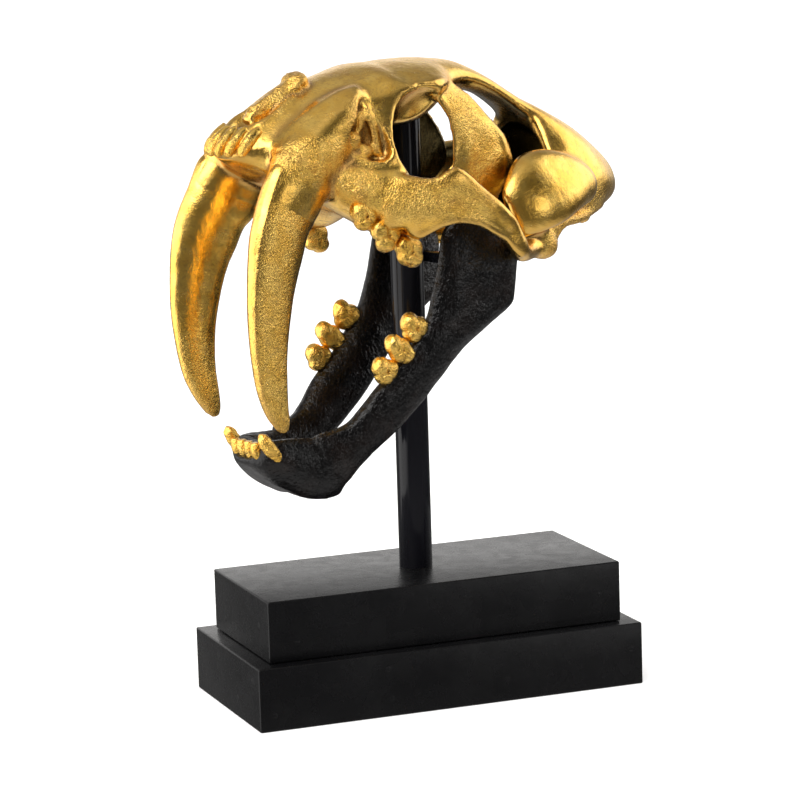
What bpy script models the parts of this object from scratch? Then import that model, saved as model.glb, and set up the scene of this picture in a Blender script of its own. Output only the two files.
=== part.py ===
"""Sabre-toothed cat skull with gaping jaw on a post and a two-tier plinth.

Lengths are in millimetres while the shapes are laid out and become metres
in the meshes. +Z is up, the long side of the plinth runs along X, and the
origin is the middle of the plinth's underside. The skull is laid out in its
own frame (snout towards -X, its left side towards -Y) and turned on the post.
"""
import math

import bmesh
import bpy
import numpy as np
from mathutils import Matrix, Vector

MM = 0.001
GAP = 0.3

PLINTH_LOWER = (305.0, 147.0, 47.4)
PLINTH_UPPER = (280.0, 125.0, 46.2)
PLINTH_EDGE = 1.2
POST_RADIUS = 12.5
POST_TOP = 441.0
POST_SEAT = 12.0
BAR_SIZE = 7.4
BAR_X = POST_RADIUS + GAP + BAR_SIZE / 2
BAR_HEIGHT = 327.5
BAR_REACH = 42.0
SOCKET_GAP = 0.5
JOINT_GAP = 0.7
SKULL_YAW = math.radians(15.0)

CLAY_VOXEL = 2.4
TOOTH_VOXEL = 1.25
CRANIUM_FACES = 3150
MANDIBLE_FACES = 1150
CHEEK_TOOTH_FACES = 80
LIMB_SIDES = 20
SABRE_SIDES = 10
SMALL_TOOTH_SIDES = 7
POST_SIDES = 40


# Scene, collections and materials

def clear_scene():
    for item in list(bpy.data.objects):
        bpy.data.objects.remove(item, do_unlink=True)


def new_collection(name):
    collection = bpy.data.collections.new(name)
    bpy.context.scene.collection.children.link(collection)
    return collection


def new_material(name, color, roughness, metallic):
    material = bpy.data.materials.new(name)
    material.use_nodes = True
    shader = material.node_tree.nodes["Principled BSDF"]
    shader.inputs["Base Color"].default_value = (*color, 1.0)
    shader.inputs["Roughness"].default_value = roughness
    shader.inputs["Metallic"].default_value = metallic
    return material


# Smooth curves and closed skins

def smooth_rows(rows, steps, closed=False):
    """Rows of numbers along a smooth curve through the given rows."""
    rows = np.array(rows, dtype=float)
    count = len(rows)
    out = []
    for i in range(count if closed else count - 1):
        if closed:
            a, b, c, d = (rows[(i + k) % count] for k in (-1, 0, 1, 2))
        else:
            a, b = rows[max(i - 1, 0)], rows[i]
            c, d = rows[i + 1], rows[min(i + 2, count - 1)]
        for k in range(steps):
            t = k / steps
            out.append(0.5 * (2 * b + (c - a) * t + (2 * a - 5 * b + 4 * c - d) * t ** 2
                              + (3 * b - a - 3 * c + d) * t ** 3))
    if not closed:
        out.append(rows[-1])
    return np.array(out)


def add_rings(bm, rings):
    """Closed skin through rings that have the same number of points."""
    loops = [[bm.verts.new(Vector(point) * MM) for point in ring] for ring in rings]
    for ring, following in zip(loops, loops[1:]):
        for i in range(len(ring)):
            j = (i + 1) % len(ring)
            bm.faces.new((ring[i], ring[j], following[j], following[i]))
    bm.faces.new(list(reversed(loops[0])))
    bm.faces.new(loops[-1])


def add_limb(bm, stations, side=1, sides=LIMB_SIDES, steps=3):
    """Solid limb: each station has one edge point, the other edge and half the thickness."""
    rows = smooth_rows([[*upper, *lower, half] for upper, lower, half in stations], steps)
    upper, lower, half = rows[:, :3], rows[:, 3:6], rows[:, 6]
    middle = (upper + lower) / 2
    last = len(rows) - 1
    rings = []
    for i in range(len(rows)):
        along = middle[min(i + 1, last)] - middle[max(i - 1, 0)]
        tall = (upper[i] - lower[i]) / 2
        thick = np.cross(tall, along)
        thick = thick / np.linalg.norm(thick) * half[i]
        ring = []
        for k in range(sides):
            turn = 2 * math.pi * k / sides
            point = middle[i] + tall * math.cos(turn) + thick * math.sin(turn)
            ring.append((point[0], point[1] * side, point[2]))
        rings.append(ring)
    add_rings(bm, rings)


def add_skin(bm, sections, steps=3, round_steps=3):
    """Solid, the same left and right, through half outlines (y, z) at stations along X."""
    rows = [[x] + [value for point in half for value in point] for x, half in sections]
    rings = []
    for row in smooth_rows(rows, steps):
        half = [(row[i], row[i + 1]) for i in range(1, len(row), 2)]
        outline = [(-y, z) for y, z in half] + [(y, z) for y, z in half[-2:0:-1]]
        rings.append([(row[0], y, z) for y, z in smooth_rows(outline, round_steps, closed=True)])
    add_rings(bm, rings)


def add_ball(bm, center, radii, turn=0.0, side=1):
    """Ellipsoid turned about the lateral axis."""
    place = (Matrix.Translation(Vector((center[0], center[1] * side, center[2])) * MM)
             @ Matrix.Rotation(turn, 4, "Y") @ Matrix.Diagonal((*(Vector(radii) * MM), 1.0)))
    bmesh.ops.create_uvsphere(bm, u_segments=20, v_segments=12, radius=1.0, matrix=place)


def both_sides(add, bm, *values, **options):
    for side in (-1, 1):
        add(bm, *values, side=-side, **options)


# Objects and modifiers

def new_object(name, bm, collection):
    bmesh.ops.recalc_face_normals(bm, faces=bm.faces)
    mesh = bpy.data.meshes.new(name)
    bm.to_mesh(mesh)
    bm.free()
    item = bpy.data.objects.new(name, mesh)
    collection.objects.link(item)
    return item


def settle(item):
    """Keep the shape that the modifiers give as the object's own mesh."""
    seen = item.evaluated_get(bpy.context.evaluated_depsgraph_get())
    mesh = bpy.data.meshes.new_from_object(seen)
    old = item.data
    item.modifiers.clear()
    item.data = mesh
    mesh.name = item.name
    bpy.data.meshes.remove(old)
    return item


def fuse(item, voxel, rounds, factor=0.5):
    """One skin round overlapping lumps, then smoothed."""
    remesh = item.modifiers.new("one_skin", "REMESH")
    remesh.mode = "VOXEL"
    remesh.voxel_size = voxel * MM
    if rounds:
        smooth = item.modifiers.new("soften", "SMOOTH")
        smooth.factor = factor
        smooth.iterations = rounds
    return settle(item)


def boolean(item, other, operation):
    cut = item.modifiers.new("cut", "BOOLEAN")
    cut.operation = operation
    cut.solver = "EXACT"
    cut.object = other
    return settle(item)


def thin_out(item, faces):
    """Fewer triangles with the same shape."""
    count = sum(len(face.vertices) - 2 for face in item.data.polygons)
    reduce = item.modifiers.new("thin_out", "DECIMATE")
    reduce.ratio = min(1.0, faces / count)
    reduce.use_collapse_triangulate = True
    return settle(item)


def largest_piece(item):
    """Drop loose specks that a cut leaves beside the main piece."""
    bm = bmesh.new()
    bm.from_mesh(item.data)
    todo = set(bm.verts)
    pieces = []
    while todo:
        start = todo.pop()
        piece, edge = {start}, [start]
        while edge:
            for link in edge.pop().link_edges:
                for vert in link.verts:
                    if vert in todo:
                        todo.discard(vert)
                        piece.add(vert)
                        edge.append(vert)
        pieces.append(piece)
    keep = max(pieces, key=len)
    bmesh.ops.delete(bm, geom=[v for v in bm.verts if v not in keep], context="VERTS")
    bm.to_mesh(item.data)
    bm.free()
    return item


# Cranium

SNOUT = [
    (-160, [(0, 433), (8, 431), (14, 426), (16, 420), (13, 417), (7, 415), (0, 415)]),
    (-154, [(0, 438), (10, 435), (18, 429), (22, 421), (18, 415), (9, 412), (0, 412)]),
    (-146, [(0, 443), (12, 440), (22, 432), (28, 421), (25, 412), (13, 408), (0, 409)]),
    (-136, [(0, 448), (14, 444.5), (26, 434), (34, 424), (32, 408), (20, 403), (0, 405)]),
    (-122, [(0, 454), (16, 450), (29, 440), (39, 427), (40, 405), (30, 395), (0, 398)]),
    (-105, [(0, 459), (18, 455), (32, 447), (43, 430), (46, 402), (38, 388), (0, 391)]),
    (-88, [(0, 465), (19, 460.5), (34, 451), (45, 431), (51, 398), (44, 375), (0, 378)]),
    (-72, [(0, 469), (22, 464.5), (38, 455), (51, 432), (58, 394), (49, 363), (0, 371)]),
    (-56, [(0, 472.5), (25, 468), (42, 459), (57, 432), (64, 391), (53, 352), (0, 366)]),
    (-44, [(0, 474.5), (27, 471), (46, 460), (59, 430), (66, 387), (52, 349), (0, 364)]),
    (-34, [(0, 475.5), (27, 472), (46, 462), (55, 440), (58, 400), (47, 358), (0, 370)]),
]
ROOF = [
    (-60, [(0, 471.5), (25, 467), (41, 458), (50, 450), (42, 440), (24, 427), (0, 423)]),
    (-30, [(0, 475), (26, 471), (44, 463), (52, 455), (44, 444), (23, 429), (0, 425)]),
    (-8, [(0, 476), (26, 472.5), (44, 465), (52, 458), (44, 447), (22, 431), (0, 426)]),
    (8, [(0, 476), (25, 472), (40, 465), (46, 459), (38, 449), (19, 435), (0, 430)]),
    (24, [(0, 474.5), (18, 471), (28, 464), (31, 458), (24, 450), (12, 443), (0, 441)]),
    (45, [(0, 471), (13, 468), (20, 463), (22, 459), (16, 454), (8, 450), (0, 449)]),
    (70, [(0, 459.5), (13, 457), (20, 452), (21, 449), (15, 446), (7, 444), (0, 443)]),
    (95, [(0, 444), (13, 442), (20, 436), (21, 432), (15, 430), (7, 429), (0, 429)]),
    (118, [(0, 431), (15, 428), (26, 420), (29, 413), (22, 409), (10, 410), (0, 411)]),
]
OCCIPUT = [
    (104, [(0, 439), (13, 437), (22, 430), (33, 414), (44, 392), (45, 368), (28, 350), (0, 345)]),
    (113, [(0, 434.5), (17, 431.5), (29, 422), (39, 406), (47, 386), (47, 362), (28, 344), (0, 340)]),
    (125, [(0, 428), (20, 424.5), (34, 414), (44, 398), (50, 378), (46, 355), (27, 341), (0, 337)]),
    (145, [(0, 417.5), (20, 413), (34, 403), (43, 388), (46, 370), (41, 353), (25, 343), (0, 339)]),
    (165, [(0, 403), (17, 399), (28, 390), (36, 377), (36, 365), (30, 355), (18, 348), (0, 344)]),
    (180, [(0, 391), (13, 388), (20, 381), (25, 371), (25, 363), (19, 356), (11, 351), (0, 349)]),
    (190, [(0, 382), (8, 380), (12, 375), (15, 368), (14, 362), (10, 357), (6, 354), (0, 353)]),
    (195, [(0, 373), (3, 372), (5, 370), (6, 367), (5, 364), (4, 362), (2, 361), (0, 361)]),
]
BRAIN_HOLLOW = [
    (72, [(0, 436), (9, 434), (20, 424), (30, 404), (38, 384), (38, 366), (24, 356), (0, 354)]),
    (95, [(0, 422), (12, 420), (24, 412), (34, 398), (39, 382), (38, 364), (24, 355), (0, 353)]),
    (120, [(0, 416), (14, 413), (26, 404), (35, 390), (40, 374), (36, 360), (20, 353), (0, 352)]),
    (145, [(0, 404), (12, 401), (24, 392), (32, 380), (34, 368), (29, 359), (16, 354), (0, 352)]),
    (160, [(0, 390), (7, 388), (13, 383), (18, 375), (18, 367), (14, 361), (8, 358), (0, 357)]),
]
CANINE_ROOT = [
    ((-149, -46, 403), (-101, -38, 384), 13.5),
    ((-145, -44.5, 415), (-95, -41, 396), 15.5),
    ((-137, -42, 427), (-83, -43, 412), 16.5),
    ((-119, -41, 437), (-73, -44, 428), 15.0),
    ((-99, -40, 448), (-65, -44, 442), 12.0),
    ((-82, -38, 456), (-60, -42, 454), 7.0),
]
CHEEK_ARCH = [
    ((-84, -48, 408), (-78, -48, 370), 12.0),
    ((-62, -58, 404), (-60, -56, 361), 13.0),
    ((-46, -73, 399), (-40, -66, 353), 10.0),
    ((-31, -80, 397), (-25, -76, 359), 7.5),
    ((-14, -84, 403), (-14, -82, 361), 6.5),
    ((6, -88, 386.5), (0, -86, 358), 6.5),
    ((22, -88, 374), (14, -86, 350), 6.5),
    ((37, -85, 361), (28, -83, 342), 7.0),
    ((46, -81, 346), (41, -79, 331), 7.5),
    ((54, -73, 340), (50, -73, 326), 8.0),
    ((68, -62, 342), (66, -62, 325), 9.0),
    ((84, -56, 342), (84, -56, 325), 9.0),
]
BRAIN_WALL = [
    ((-14, -38, 462), (28, -32, 455), 3.2),
    ((-5, -44, 450), (40, -35, 444), 3.2),
    ((4, -47, 437), (53, -37, 430), 3.2),
    ((8, -48, 423), (64, -40, 418), 3.2),
    ((9, -48, 408), (72, -40, 400), 3.2),
    ((5, -46, 393), (69.5, -41, 386), 3.2),
    ((12, -42, 376), (58, -42, 374), 3.2),
    ((24, -38, 360), (54, -40, 362), 3.5),
    ((36, -36, 350), (56, -38, 352), 4.5),
]
TEMPLE_LOBE = [
    ((50, -67, 374), (58, -70, 338), 6.0),
    ((55, -61, 388), (64, -73, 343), 10.0),
    ((67, -53, 400), (76, -75, 347), 13.0),
    ((84, -49, 403.5), (92, -74, 351), 14.5),
    ((101, -47, 402), (107, -69, 356), 14.5),
    ((118, -46, 396), (122, -61, 360), 13.0),
    ((132, -45, 388), (134, -53, 362), 10.5),
    ((140, -45, 379), (140, -47, 366), 6.0),
]
NECK_RIDGE = [
    ((70, -58, 345), (74, -58, 334), 6.0),
    ((90, -56, 349), (92, -56, 340), 6.0),
    ((107, -52, 354), (110, -50, 344), 6.0),
    ((126, -47, 353), (129, -44, 345), 5.5),
    ((145, -37, 356), (148, -34, 348), 5.5),
    ((162, -26, 358), (165, -24, 350), 5.5),
]
EAR_RIDGE = [
    ((98, -52, 348), (108, -50, 346), 4.0),
    ((92, -54, 340), (102, -51, 338), 4.5),
    ((84, -56, 331), (95, -53, 330), 5.0),
]
PALATE_WING = [
    ((40, -35, 356), (40, -35, 344), 5.0),
    ((60, -38, 356), (60, -38, 342), 5.5),
    ((84, -42, 354), (84, -42, 342), 6.0),
    ((108, -42, 354), (108, -42, 344), 6.0),
]
POCKET_BALLS = (((-67, -58, 430), (14, 18, 17), 0.0), ((-62, -56, 446), (9, 16, 13), 0.0))


def build_cranium(cutters, collection):
    bm = bmesh.new()
    add_skin(bm, SNOUT)
    add_skin(bm, ROOF)
    add_skin(bm, OCCIPUT)
    both_sides(add_limb, bm, CANINE_ROOT)
    both_sides(add_ball, bm, (-56, -58, 367), (17, 9, 12), 0.4)
    both_sides(add_ball, bm, (-34, -54, 368), (16, 9, 8), 0.0)
    cranium = fuse(new_object("cranium", bm, collection), CLAY_VOXEL, 9)

    bm = bmesh.new()
    add_skin(bm, BRAIN_HOLLOW)
    add_ball(bm, (-131, 0, 449), (25, 16, 14), -0.5)
    for center, radii, turn in POCKET_BALLS:
        both_sides(add_ball, bm, center, radii, turn)
    add_ball(bm, (2, 0, 383), (52, 60, 44))
    both_sides(add_ball, bm, (-17, -62, 424), (34, 36, 37))
    hollow = fuse(new_object("hollows", bm, cutters), CLAY_VOXEL, 2)
    boolean(cranium, hollow, "DIFFERENCE")

    bm = bmesh.new()
    bm.from_mesh(cranium.data)
    both_sides(add_limb, bm, CHEEK_ARCH)
    both_sides(add_limb, bm, BRAIN_WALL)
    both_sides(add_limb, bm, TEMPLE_LOBE)
    both_sides(add_limb, bm, NECK_RIDGE)
    both_sides(add_limb, bm, EAR_RIDGE)
    both_sides(add_limb, bm, PALATE_WING)
    both_sides(add_ball, bm, (90, -55, 330.5), (9, 9, 9))
    both_sides(add_ball, bm, (158, -12, 344), (8, 6, 6))
    add_ball(bm, (-97, -2, 464.5), (11, 13, 6.5), -0.4)
    add_ball(bm, (-118, 3, 450), (17, 5, 7), -0.5)
    bm.to_mesh(cranium.data)
    bm.free()
    fuse(cranium, CLAY_VOXEL, 3)
    return largest_piece(cranium)


# Mandible

RAMUS = [
    ((13, -42.5, 362), (42, -52, 356), 6.0),
    ((2, -42, 349.5), (58, -50, 344), 8.5),
    ((-1.5, -42, 332.7), (66, -49, 330.8), 10.0),
    ((-6, -42, 314.7), (64.5, -48.5, 315), 11.0),
    ((-9.7, -42.3, 303.5), (64, -47, 301.3), 11.0),
    ((-13.5, -43, 291.8), (62, -45.5, 291), 11.0),
    ((-20, -43.5, 281), (43, -43.5, 279), 11.0),
    ((-28.5, -43, 271), (20, -40, 263.5), 11.0),
    ((-41, -41.5, 257.5), (0, -36.5, 243), 11.0),
    ((-52, -40.5, 247.8), (-18.5, -34, 223.5), 10.5),
    ((-61, -39.5, 239.5), (-38.5, -32, 206.8), 10.5),
    ((-70, -37.5, 229.2), (-55.5, -29, 194.8), 10.5),
    ((-80, -34.5, 219), (-68.5, -27, 184), 10.5),
    ((-91, -31, 214.5), (-78, -24.5, 173), 10.5),
    ((-106, -27, 212), (-89, -21, 164.5), 10.5),
]
CHIN = [
    (-155, [(0, 202), (10, 204), (15, 201), (9, 196), (0, 196)]),
    (-148, [(0, 207), (16, 208), (22, 200), (14, 190), (0, 189)]),
    (-137, [(0, 206), (20, 211), (27, 196), (17, 179.5), (0, 179.5)]),
    (-123, [(0, 199), (21, 211), (29, 190), (18, 171), (0, 171)]),
    (-108, [(0, 188), (23, 210), (31, 187), (21, 164), (0, 166)]),
    (-95, [(0, 178), (26, 209), (33, 187), (23, 161.5), (0, 168)]),
    (-83, [(0, 174), (28, 203), (34, 186), (23, 163.5), (0, 169)]),
]


def build_mandible(collection):
    bm = bmesh.new()
    add_skin(bm, CHIN)
    both_sides(add_limb, bm, RAMUS)
    mandible = fuse(new_object("mandible", bm, collection), CLAY_VOXEL, 2)
    return largest_piece(mandible)


# Teeth

SABRE = [
    ((-128, -46, 424), (-103, -42, 416), 5.0),
    ((-142, -47, 416), (-100, -40, 402), 9.5),
    ((-150, -47.5, 409), (-101.5, -38, 391), 12.7),
    ((-159, -47.6, 391.5), (-110, -36.3, 368.2), 13.8),
    ((-166.5, -49.9, 375), (-118.5, -38.9, 358), 13.5),
    ((-171, -50.8, 361.3), (-124.2, -41.4, 344.6), 12.6),
    ((-173.8, -51.5, 344.6), (-129.5, -43.5, 333.2), 11.5),
    ((-175.1, -51.4, 329.6), (-133.8, -44.6, 321.4), 10.6),
    ((-175.9, -51.3, 313.9), (-137, -45.5, 309), 9.7),
    ((-175.7, -51, 298), (-139.8, -46.2, 296), 8.9),
    ((-174.3, -50, 282), (-141.6, -46.4, 284), 8.1),
    ((-172, -49.2, 266.4), (-142.6, -46.4, 270.6), 7.4),
    ((-168.3, -48, 251), (-142.6, -46.2, 256.5), 6.6),
    ((-161, -45.8, 235.5), (-141.6, -44.8, 241), 5.6),
    ((-153, -45, 225), (-140.5, -45, 228.5), 3.7),
    ((-147.2, -45, 220.6), (-142, -45, 221.6), 1.8),
]
UPPER_INCISOR = [
    ((-0.7, 0, 0.8), (0.7, 0, -0.4), 1.2),
    ((-1.4, 0, 3.2), (3.2, 0, -0.6), 2.8),
    ((0.8, 0, 7.2), (6.6, 0, 1.0), 3.7),
    ((4.8, 0, 11.6), (10.6, 0, 4.4), 3.8),
    ((9.6, 0, 15.6), (15, 0, 8.6), 3.4),
    ((14.5, 0, 17.0), (18.6, 0, 12.4), 2.2),
]
UPPER_INCISOR_TIP = 419.0
LOWER_INCISOR_ROW = (4.2, 12.4)
UPPER_INCISOR_ROW = ((4.6, -167.0), (13.2, -164.0), (21.4, -158.4))
LOWER_CANINE = [
    ((-131, -22.4, 192), (-120, -22.4, 190), 4.2),
    ((-139, -22.6, 199.5), (-126, -22.6, 197), 5.6),
    ((-146, -22.4, 206.5), (-132.5, -22.4, 204), 5.6),
    ((-150, -22, 213), (-140, -22, 212), 4.8),
    ((-149.8, -21.5, 216.6), (-145, -21.5, 216.2), 2.6),
]
LOWER_INCISOR = [
    ((-140, 0, 190), (-133, 0, 188), 3.2),
    ((-149.5, 0, 197), (-140, 0, 195), 3.8),
    ((-154.5, 0, 203.5), (-146.5, 0, 202.5), 3.8),
    ((-155.4, 0, 210), (-150.6, 0, 209.8), 2.8),
]
UPPER_CHEEK_TEETH = (
    ("front", (((-81, -57, 374), (7.6, 6.5, 7.6), 0.0), ((-75.5, -57, 369.5), (7.4, 6.5, 7.4), 0.0))),
    ("middle", (((-64.5, -58, 357.5), (8.2, 7, 8.4), 0.0),
                ((-58.5, -58, 353.5), (7.8, 7, 8), 0.0))),
    ("rear", (((-44.5, -59, 345.5), (8, 7, 8.4), 0.0), ((-38.5, -59, 340.5), (8.6, 7, 8.6), 0.0))),
)
LOWER_CHEEK_TEETH = (
    ("rear", (((-29.5, -43, 284.5), (8, 6.5, 7), 0.0), ((-23.5, -43, 281.5), (7.8, 6.5, 7.2), 0.0))),
    ("middle", (((-44.5, -44, 271), (7.6, 6.5, 7.6), 0.0),
                ((-38, -43.5, 267), (8.4, 6.8, 8.4), 0.0))),
    ("front", (((-56, -42.5, 256.5), (8, 6, 7.2), 0.0), ((-49.5, -42, 252), (7.4, 6, 7), 0.0))),
)
RIGHT_FRONT_LIFT = 5.5
SIDES = (("left", 1), ("right", -1))


def moved(stations, shift):
    """The same limb stations somewhere else."""
    shift = Vector(shift)
    return [(tuple(Vector(upper) + shift), tuple(Vector(lower) + shift), half)
            for upper, lower, half in stations]


def lifted(balls, lift):
    """The same balls a little higher."""
    return tuple(((x, y, z + lift), radii, turn) for (x, y, z), radii, turn in balls)


def limb_tooth(name, stations, side, sides, collection):
    bm = bmesh.new()
    add_limb(bm, stations, side=side, sides=sides, steps=1)
    return new_object(name, bm, collection)


def lump_tooth(name, balls, side, collection):
    bm = bmesh.new()
    for center, radii, turn in balls:
        add_ball(bm, center, radii, turn, side)
    tooth = fuse(new_object(name, bm, collection), TOOTH_VOXEL, 3)
    return thin_out(tooth, CHEEK_TOOTH_FACES)


def build_upper_teeth(collection):
    teeth = []
    for word, side in SIDES:
        teeth.append(limb_tooth("sabre_" + word, SABRE, side, SABRE_SIDES, collection))
        for number, (y, x) in enumerate(UPPER_INCISOR_ROW, start=1):
            name = "upper_incisor_%s_%d" % (word, number)
            stations = moved(UPPER_INCISOR, (x, -y, UPPER_INCISOR_TIP))
            teeth.append(limb_tooth(name, stations, side, SMALL_TOOTH_SIDES, collection))
        for place, balls in UPPER_CHEEK_TEETH:
            name = "upper_cheek_%s_%s" % (word, place)
            if (word, place) == ("right", "front"):
                balls = lifted(balls, RIGHT_FRONT_LIFT)
            teeth.append(lump_tooth(name, balls, side, collection))
    return teeth


def build_lower_teeth(collection):
    teeth = []
    for word, side in SIDES:
        name = "lower_canine_" + word
        teeth.append(limb_tooth(name, LOWER_CANINE, side, SMALL_TOOTH_SIDES, collection))
        for number, y in enumerate(LOWER_INCISOR_ROW, start=1):
            name = "lower_incisor_%s_%d" % (word, number)
            stations = moved(LOWER_INCISOR, (0, -y, 0))
            teeth.append(limb_tooth(name, stations, side, SMALL_TOOTH_SIDES, collection))
        for place, balls in LOWER_CHEEK_TEETH:
            name = "lower_cheek_%s_%s" % (word, place)
            teeth.append(lump_tooth(name, balls, side, collection))
    return teeth


# Sockets and clearances

def swollen(item, margin, collection):
    """A cutter with the shape of the item, a margin larger all round."""
    bm = bmesh.new()
    bm.from_mesh(item.data)
    bm.normal_update()
    for vert, shift in [(vert, vert.normal * margin * MM) for vert in bm.verts]:
        vert.co += shift
    return new_object(item.name + "_room", bm, collection)


def cut_sockets(item, pieces, cutters):
    for piece in pieces:
        boolean(item, swollen(piece, SOCKET_GAP, cutters), "DIFFERENCE")


def add_cylinder(bm, radius, bottom, top, sides):
    place = Matrix.Translation((0, 0, (bottom + top) / 2 * MM))
    bmesh.ops.create_cone(bm, cap_ends=True, segments=sides, radius1=radius * MM,
                          radius2=radius * MM, depth=(top - bottom) * MM, matrix=place)


def add_box(bm, center, size):
    place = Matrix.Translation(Vector(center) * MM) @ Matrix.Diagonal((*(Vector(size) * MM), 1))
    bmesh.ops.create_cube(bm, size=1.0, matrix=place)


# Stand

def build_plinth(name, size, bottom, collection):
    bm = bmesh.new()
    add_box(bm, (0, 0, 0), size)
    plinth = new_object(name, bm, collection)
    plinth.location = (0, 0, (bottom + size[2] / 2) * MM)
    edge = plinth.modifiers.new("edge", "BEVEL")
    edge.width = PLINTH_EDGE * MM
    edge.segments = 2
    return plinth


def build_stand(model, cutters):
    lower = build_plinth("plinth_lower", PLINTH_LOWER, 0.0, model)
    upper_size = (PLINTH_UPPER[0], PLINTH_UPPER[1], PLINTH_UPPER[2] - GAP)
    upper = build_plinth("plinth_upper", upper_size, PLINTH_LOWER[2] + GAP, model)
    top = PLINTH_LOWER[2] + PLINTH_UPPER[2]

    bm = bmesh.new()
    add_cylinder(bm, POST_RADIUS + GAP, top - POST_SEAT - GAP, top + POST_SEAT, POST_SIDES)
    hole = upper.modifiers.new("post_hole", "BOOLEAN")
    hole.solver = "EXACT"
    hole.operation = "DIFFERENCE"
    hole.object = new_object("post_hole", bm, cutters)

    bm = bmesh.new()
    add_cylinder(bm, POST_RADIUS, top - POST_SEAT, POST_TOP, POST_SIDES)
    post = new_object("post", bm, model)

    bm = bmesh.new()
    add_box(bm, (BAR_X, 0, BAR_HEIGHT), (BAR_SIZE, 2 * BAR_REACH, BAR_SIZE))
    bar = new_object("jaw_bar", bm, model)
    return lower, upper, post, bar


# Assembly

def finish(item, material, smooth_angle):
    item.data.materials.clear()
    item.data.materials.append(material)
    item.data.polygons.foreach_set("use_smooth", [True] * len(item.data.polygons))
    item.data.set_sharp_from_angle(angle=math.radians(smooth_angle))


def build():
    clear_scene()
    model = new_collection("smilodon_skull")
    cutters = new_collection("cutters")
    gold = new_material("gold_leaf", (0.62, 0.36, 0.06), 0.3, 1.0)
    black_bone = new_material("black_bone", (0.012, 0.009, 0.008), 0.22, 0.0)
    post_black = new_material("post_black", (0.01, 0.01, 0.012), 0.12, 0.0)
    plinth_black = new_material("plinth_black", (0.016, 0.016, 0.017), 0.42, 0.0)

    lower, upper, post, bar = build_stand(model, cutters)
    cranium = thin_out(build_cranium(cutters, model), CRANIUM_FACES)
    mandible = build_mandible(model)
    upper_teeth = build_upper_teeth(model)
    lower_teeth = build_lower_teeth(model)

    cut_sockets(cranium, upper_teeth, cutters)
    bm = bmesh.new()
    add_cylinder(bm, POST_RADIUS + GAP, POST_TOP - 80, POST_TOP + GAP, POST_SIDES)
    boolean(cranium, new_object("post_socket", bm, cutters), "DIFFERENCE")
    largest_piece(cranium)

    thin_out(mandible, MANDIBLE_FACES)
    boolean(mandible, swollen(cranium, JOINT_GAP, cutters), "DIFFERENCE")
    cut_sockets(mandible, [bar] + lower_teeth, cutters)
    largest_piece(mandible)

    for item in [cranium] + upper_teeth + lower_teeth:
        finish(item, gold, 50)
    finish(mandible, black_bone, 50)
    finish(post, post_black, 40)
    finish(bar, post_black, 30)
    for item in (lower, upper):
        finish(item, plinth_black, 30)

    skull = bpy.data.objects.new("skull", None)
    skull.empty_display_size = 0.05
    skull.rotation_euler = (0, 0, SKULL_YAW)
    model.objects.link(skull)
    for item in [cranium, mandible, bar] + upper_teeth + lower_teeth:
        item.parent = skull
    for item in cutters.objects:
        item.hide_render = True
        item.display_type = "WIRE"


build()
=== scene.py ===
# %% [markdown]
# A gilded cast of a sabre-toothed cat's skull, jaws wide open, on a post over
# a stepped black plinth. The lesson loads the measured solids as a frame, then
# builds the visible surfaces over them: modelling clay first, then carving,
# then gold leaf and black lacquer.

# %% The frame
import math

import bmesh
import bpy
import numpy as np
from mathutils import Matrix, Vector, noise


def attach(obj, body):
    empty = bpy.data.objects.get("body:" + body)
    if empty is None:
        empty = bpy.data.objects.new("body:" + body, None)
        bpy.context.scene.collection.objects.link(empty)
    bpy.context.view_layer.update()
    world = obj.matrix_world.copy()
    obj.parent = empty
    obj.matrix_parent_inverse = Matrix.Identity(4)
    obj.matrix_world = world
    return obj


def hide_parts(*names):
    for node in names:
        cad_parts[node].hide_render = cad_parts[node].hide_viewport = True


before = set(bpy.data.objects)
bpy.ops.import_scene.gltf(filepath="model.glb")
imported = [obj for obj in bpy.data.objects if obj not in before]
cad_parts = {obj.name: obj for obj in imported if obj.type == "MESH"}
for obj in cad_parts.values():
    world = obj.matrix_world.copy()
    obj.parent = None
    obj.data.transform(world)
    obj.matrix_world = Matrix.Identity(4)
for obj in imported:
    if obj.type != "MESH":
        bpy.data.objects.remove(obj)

MM = 0.001
bpy.context.view_layer.update()

# %% [markdown]
# Camera. The plinth's corners fix where the photographer stood: a long lens,
# a little to the left of the plinth's front and a little above the skull. The
# camera is a matrix here because it also leans by under two degrees.

# %% Camera
CAMERA_AZIMUTH = math.radians(-20.878)
CAMERA_HEIGHT = math.radians(10.22)
CAMERA_LEAN = math.radians(-1.766)
CAMERA_TARGET = Vector((-0.00878, 0.0, 0.22094))
CAMERA_DISTANCE = 2.6247
CAMERA_LENS = 158.13
SENSOR_WIDTH = 36.0


def place_camera():
    data = bpy.data.cameras.new("camera")
    data.sensor_width = SENSOR_WIDTH
    data.lens = CAMERA_LENS
    camera = bpy.data.objects.new("camera", data)
    bpy.context.scene.collection.objects.link(camera)
    back = Vector((math.sin(CAMERA_AZIMUTH) * math.cos(CAMERA_HEIGHT),
                   -math.cos(CAMERA_AZIMUTH) * math.cos(CAMERA_HEIGHT),
                   math.sin(CAMERA_HEIGHT)))
    right = (-back).cross(Vector((0, 0, 1))).normalized()
    up = right.cross(-back)
    upright, aslant = math.cos(CAMERA_LEAN), math.sin(CAMERA_LEAN)
    right, up = right * upright + up * aslant, up * upright - right * aslant
    camera.matrix_world = Matrix((right, up, back)).transposed().to_4x4()
    camera.matrix_world.translation = CAMERA_TARGET + back * CAMERA_DISTANCE
    bpy.context.scene.camera = camera
    return camera


camera = place_camera()
print("camera at", tuple(round(value, 3) for value in camera.matrix_world.translation))

# %% [markdown]
# Nodes. Every finish, and the light of the room, is a small tree of nodes.
# This helper makes a node, sets its sockets by name, and links a socket where
# it is handed one.

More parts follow.
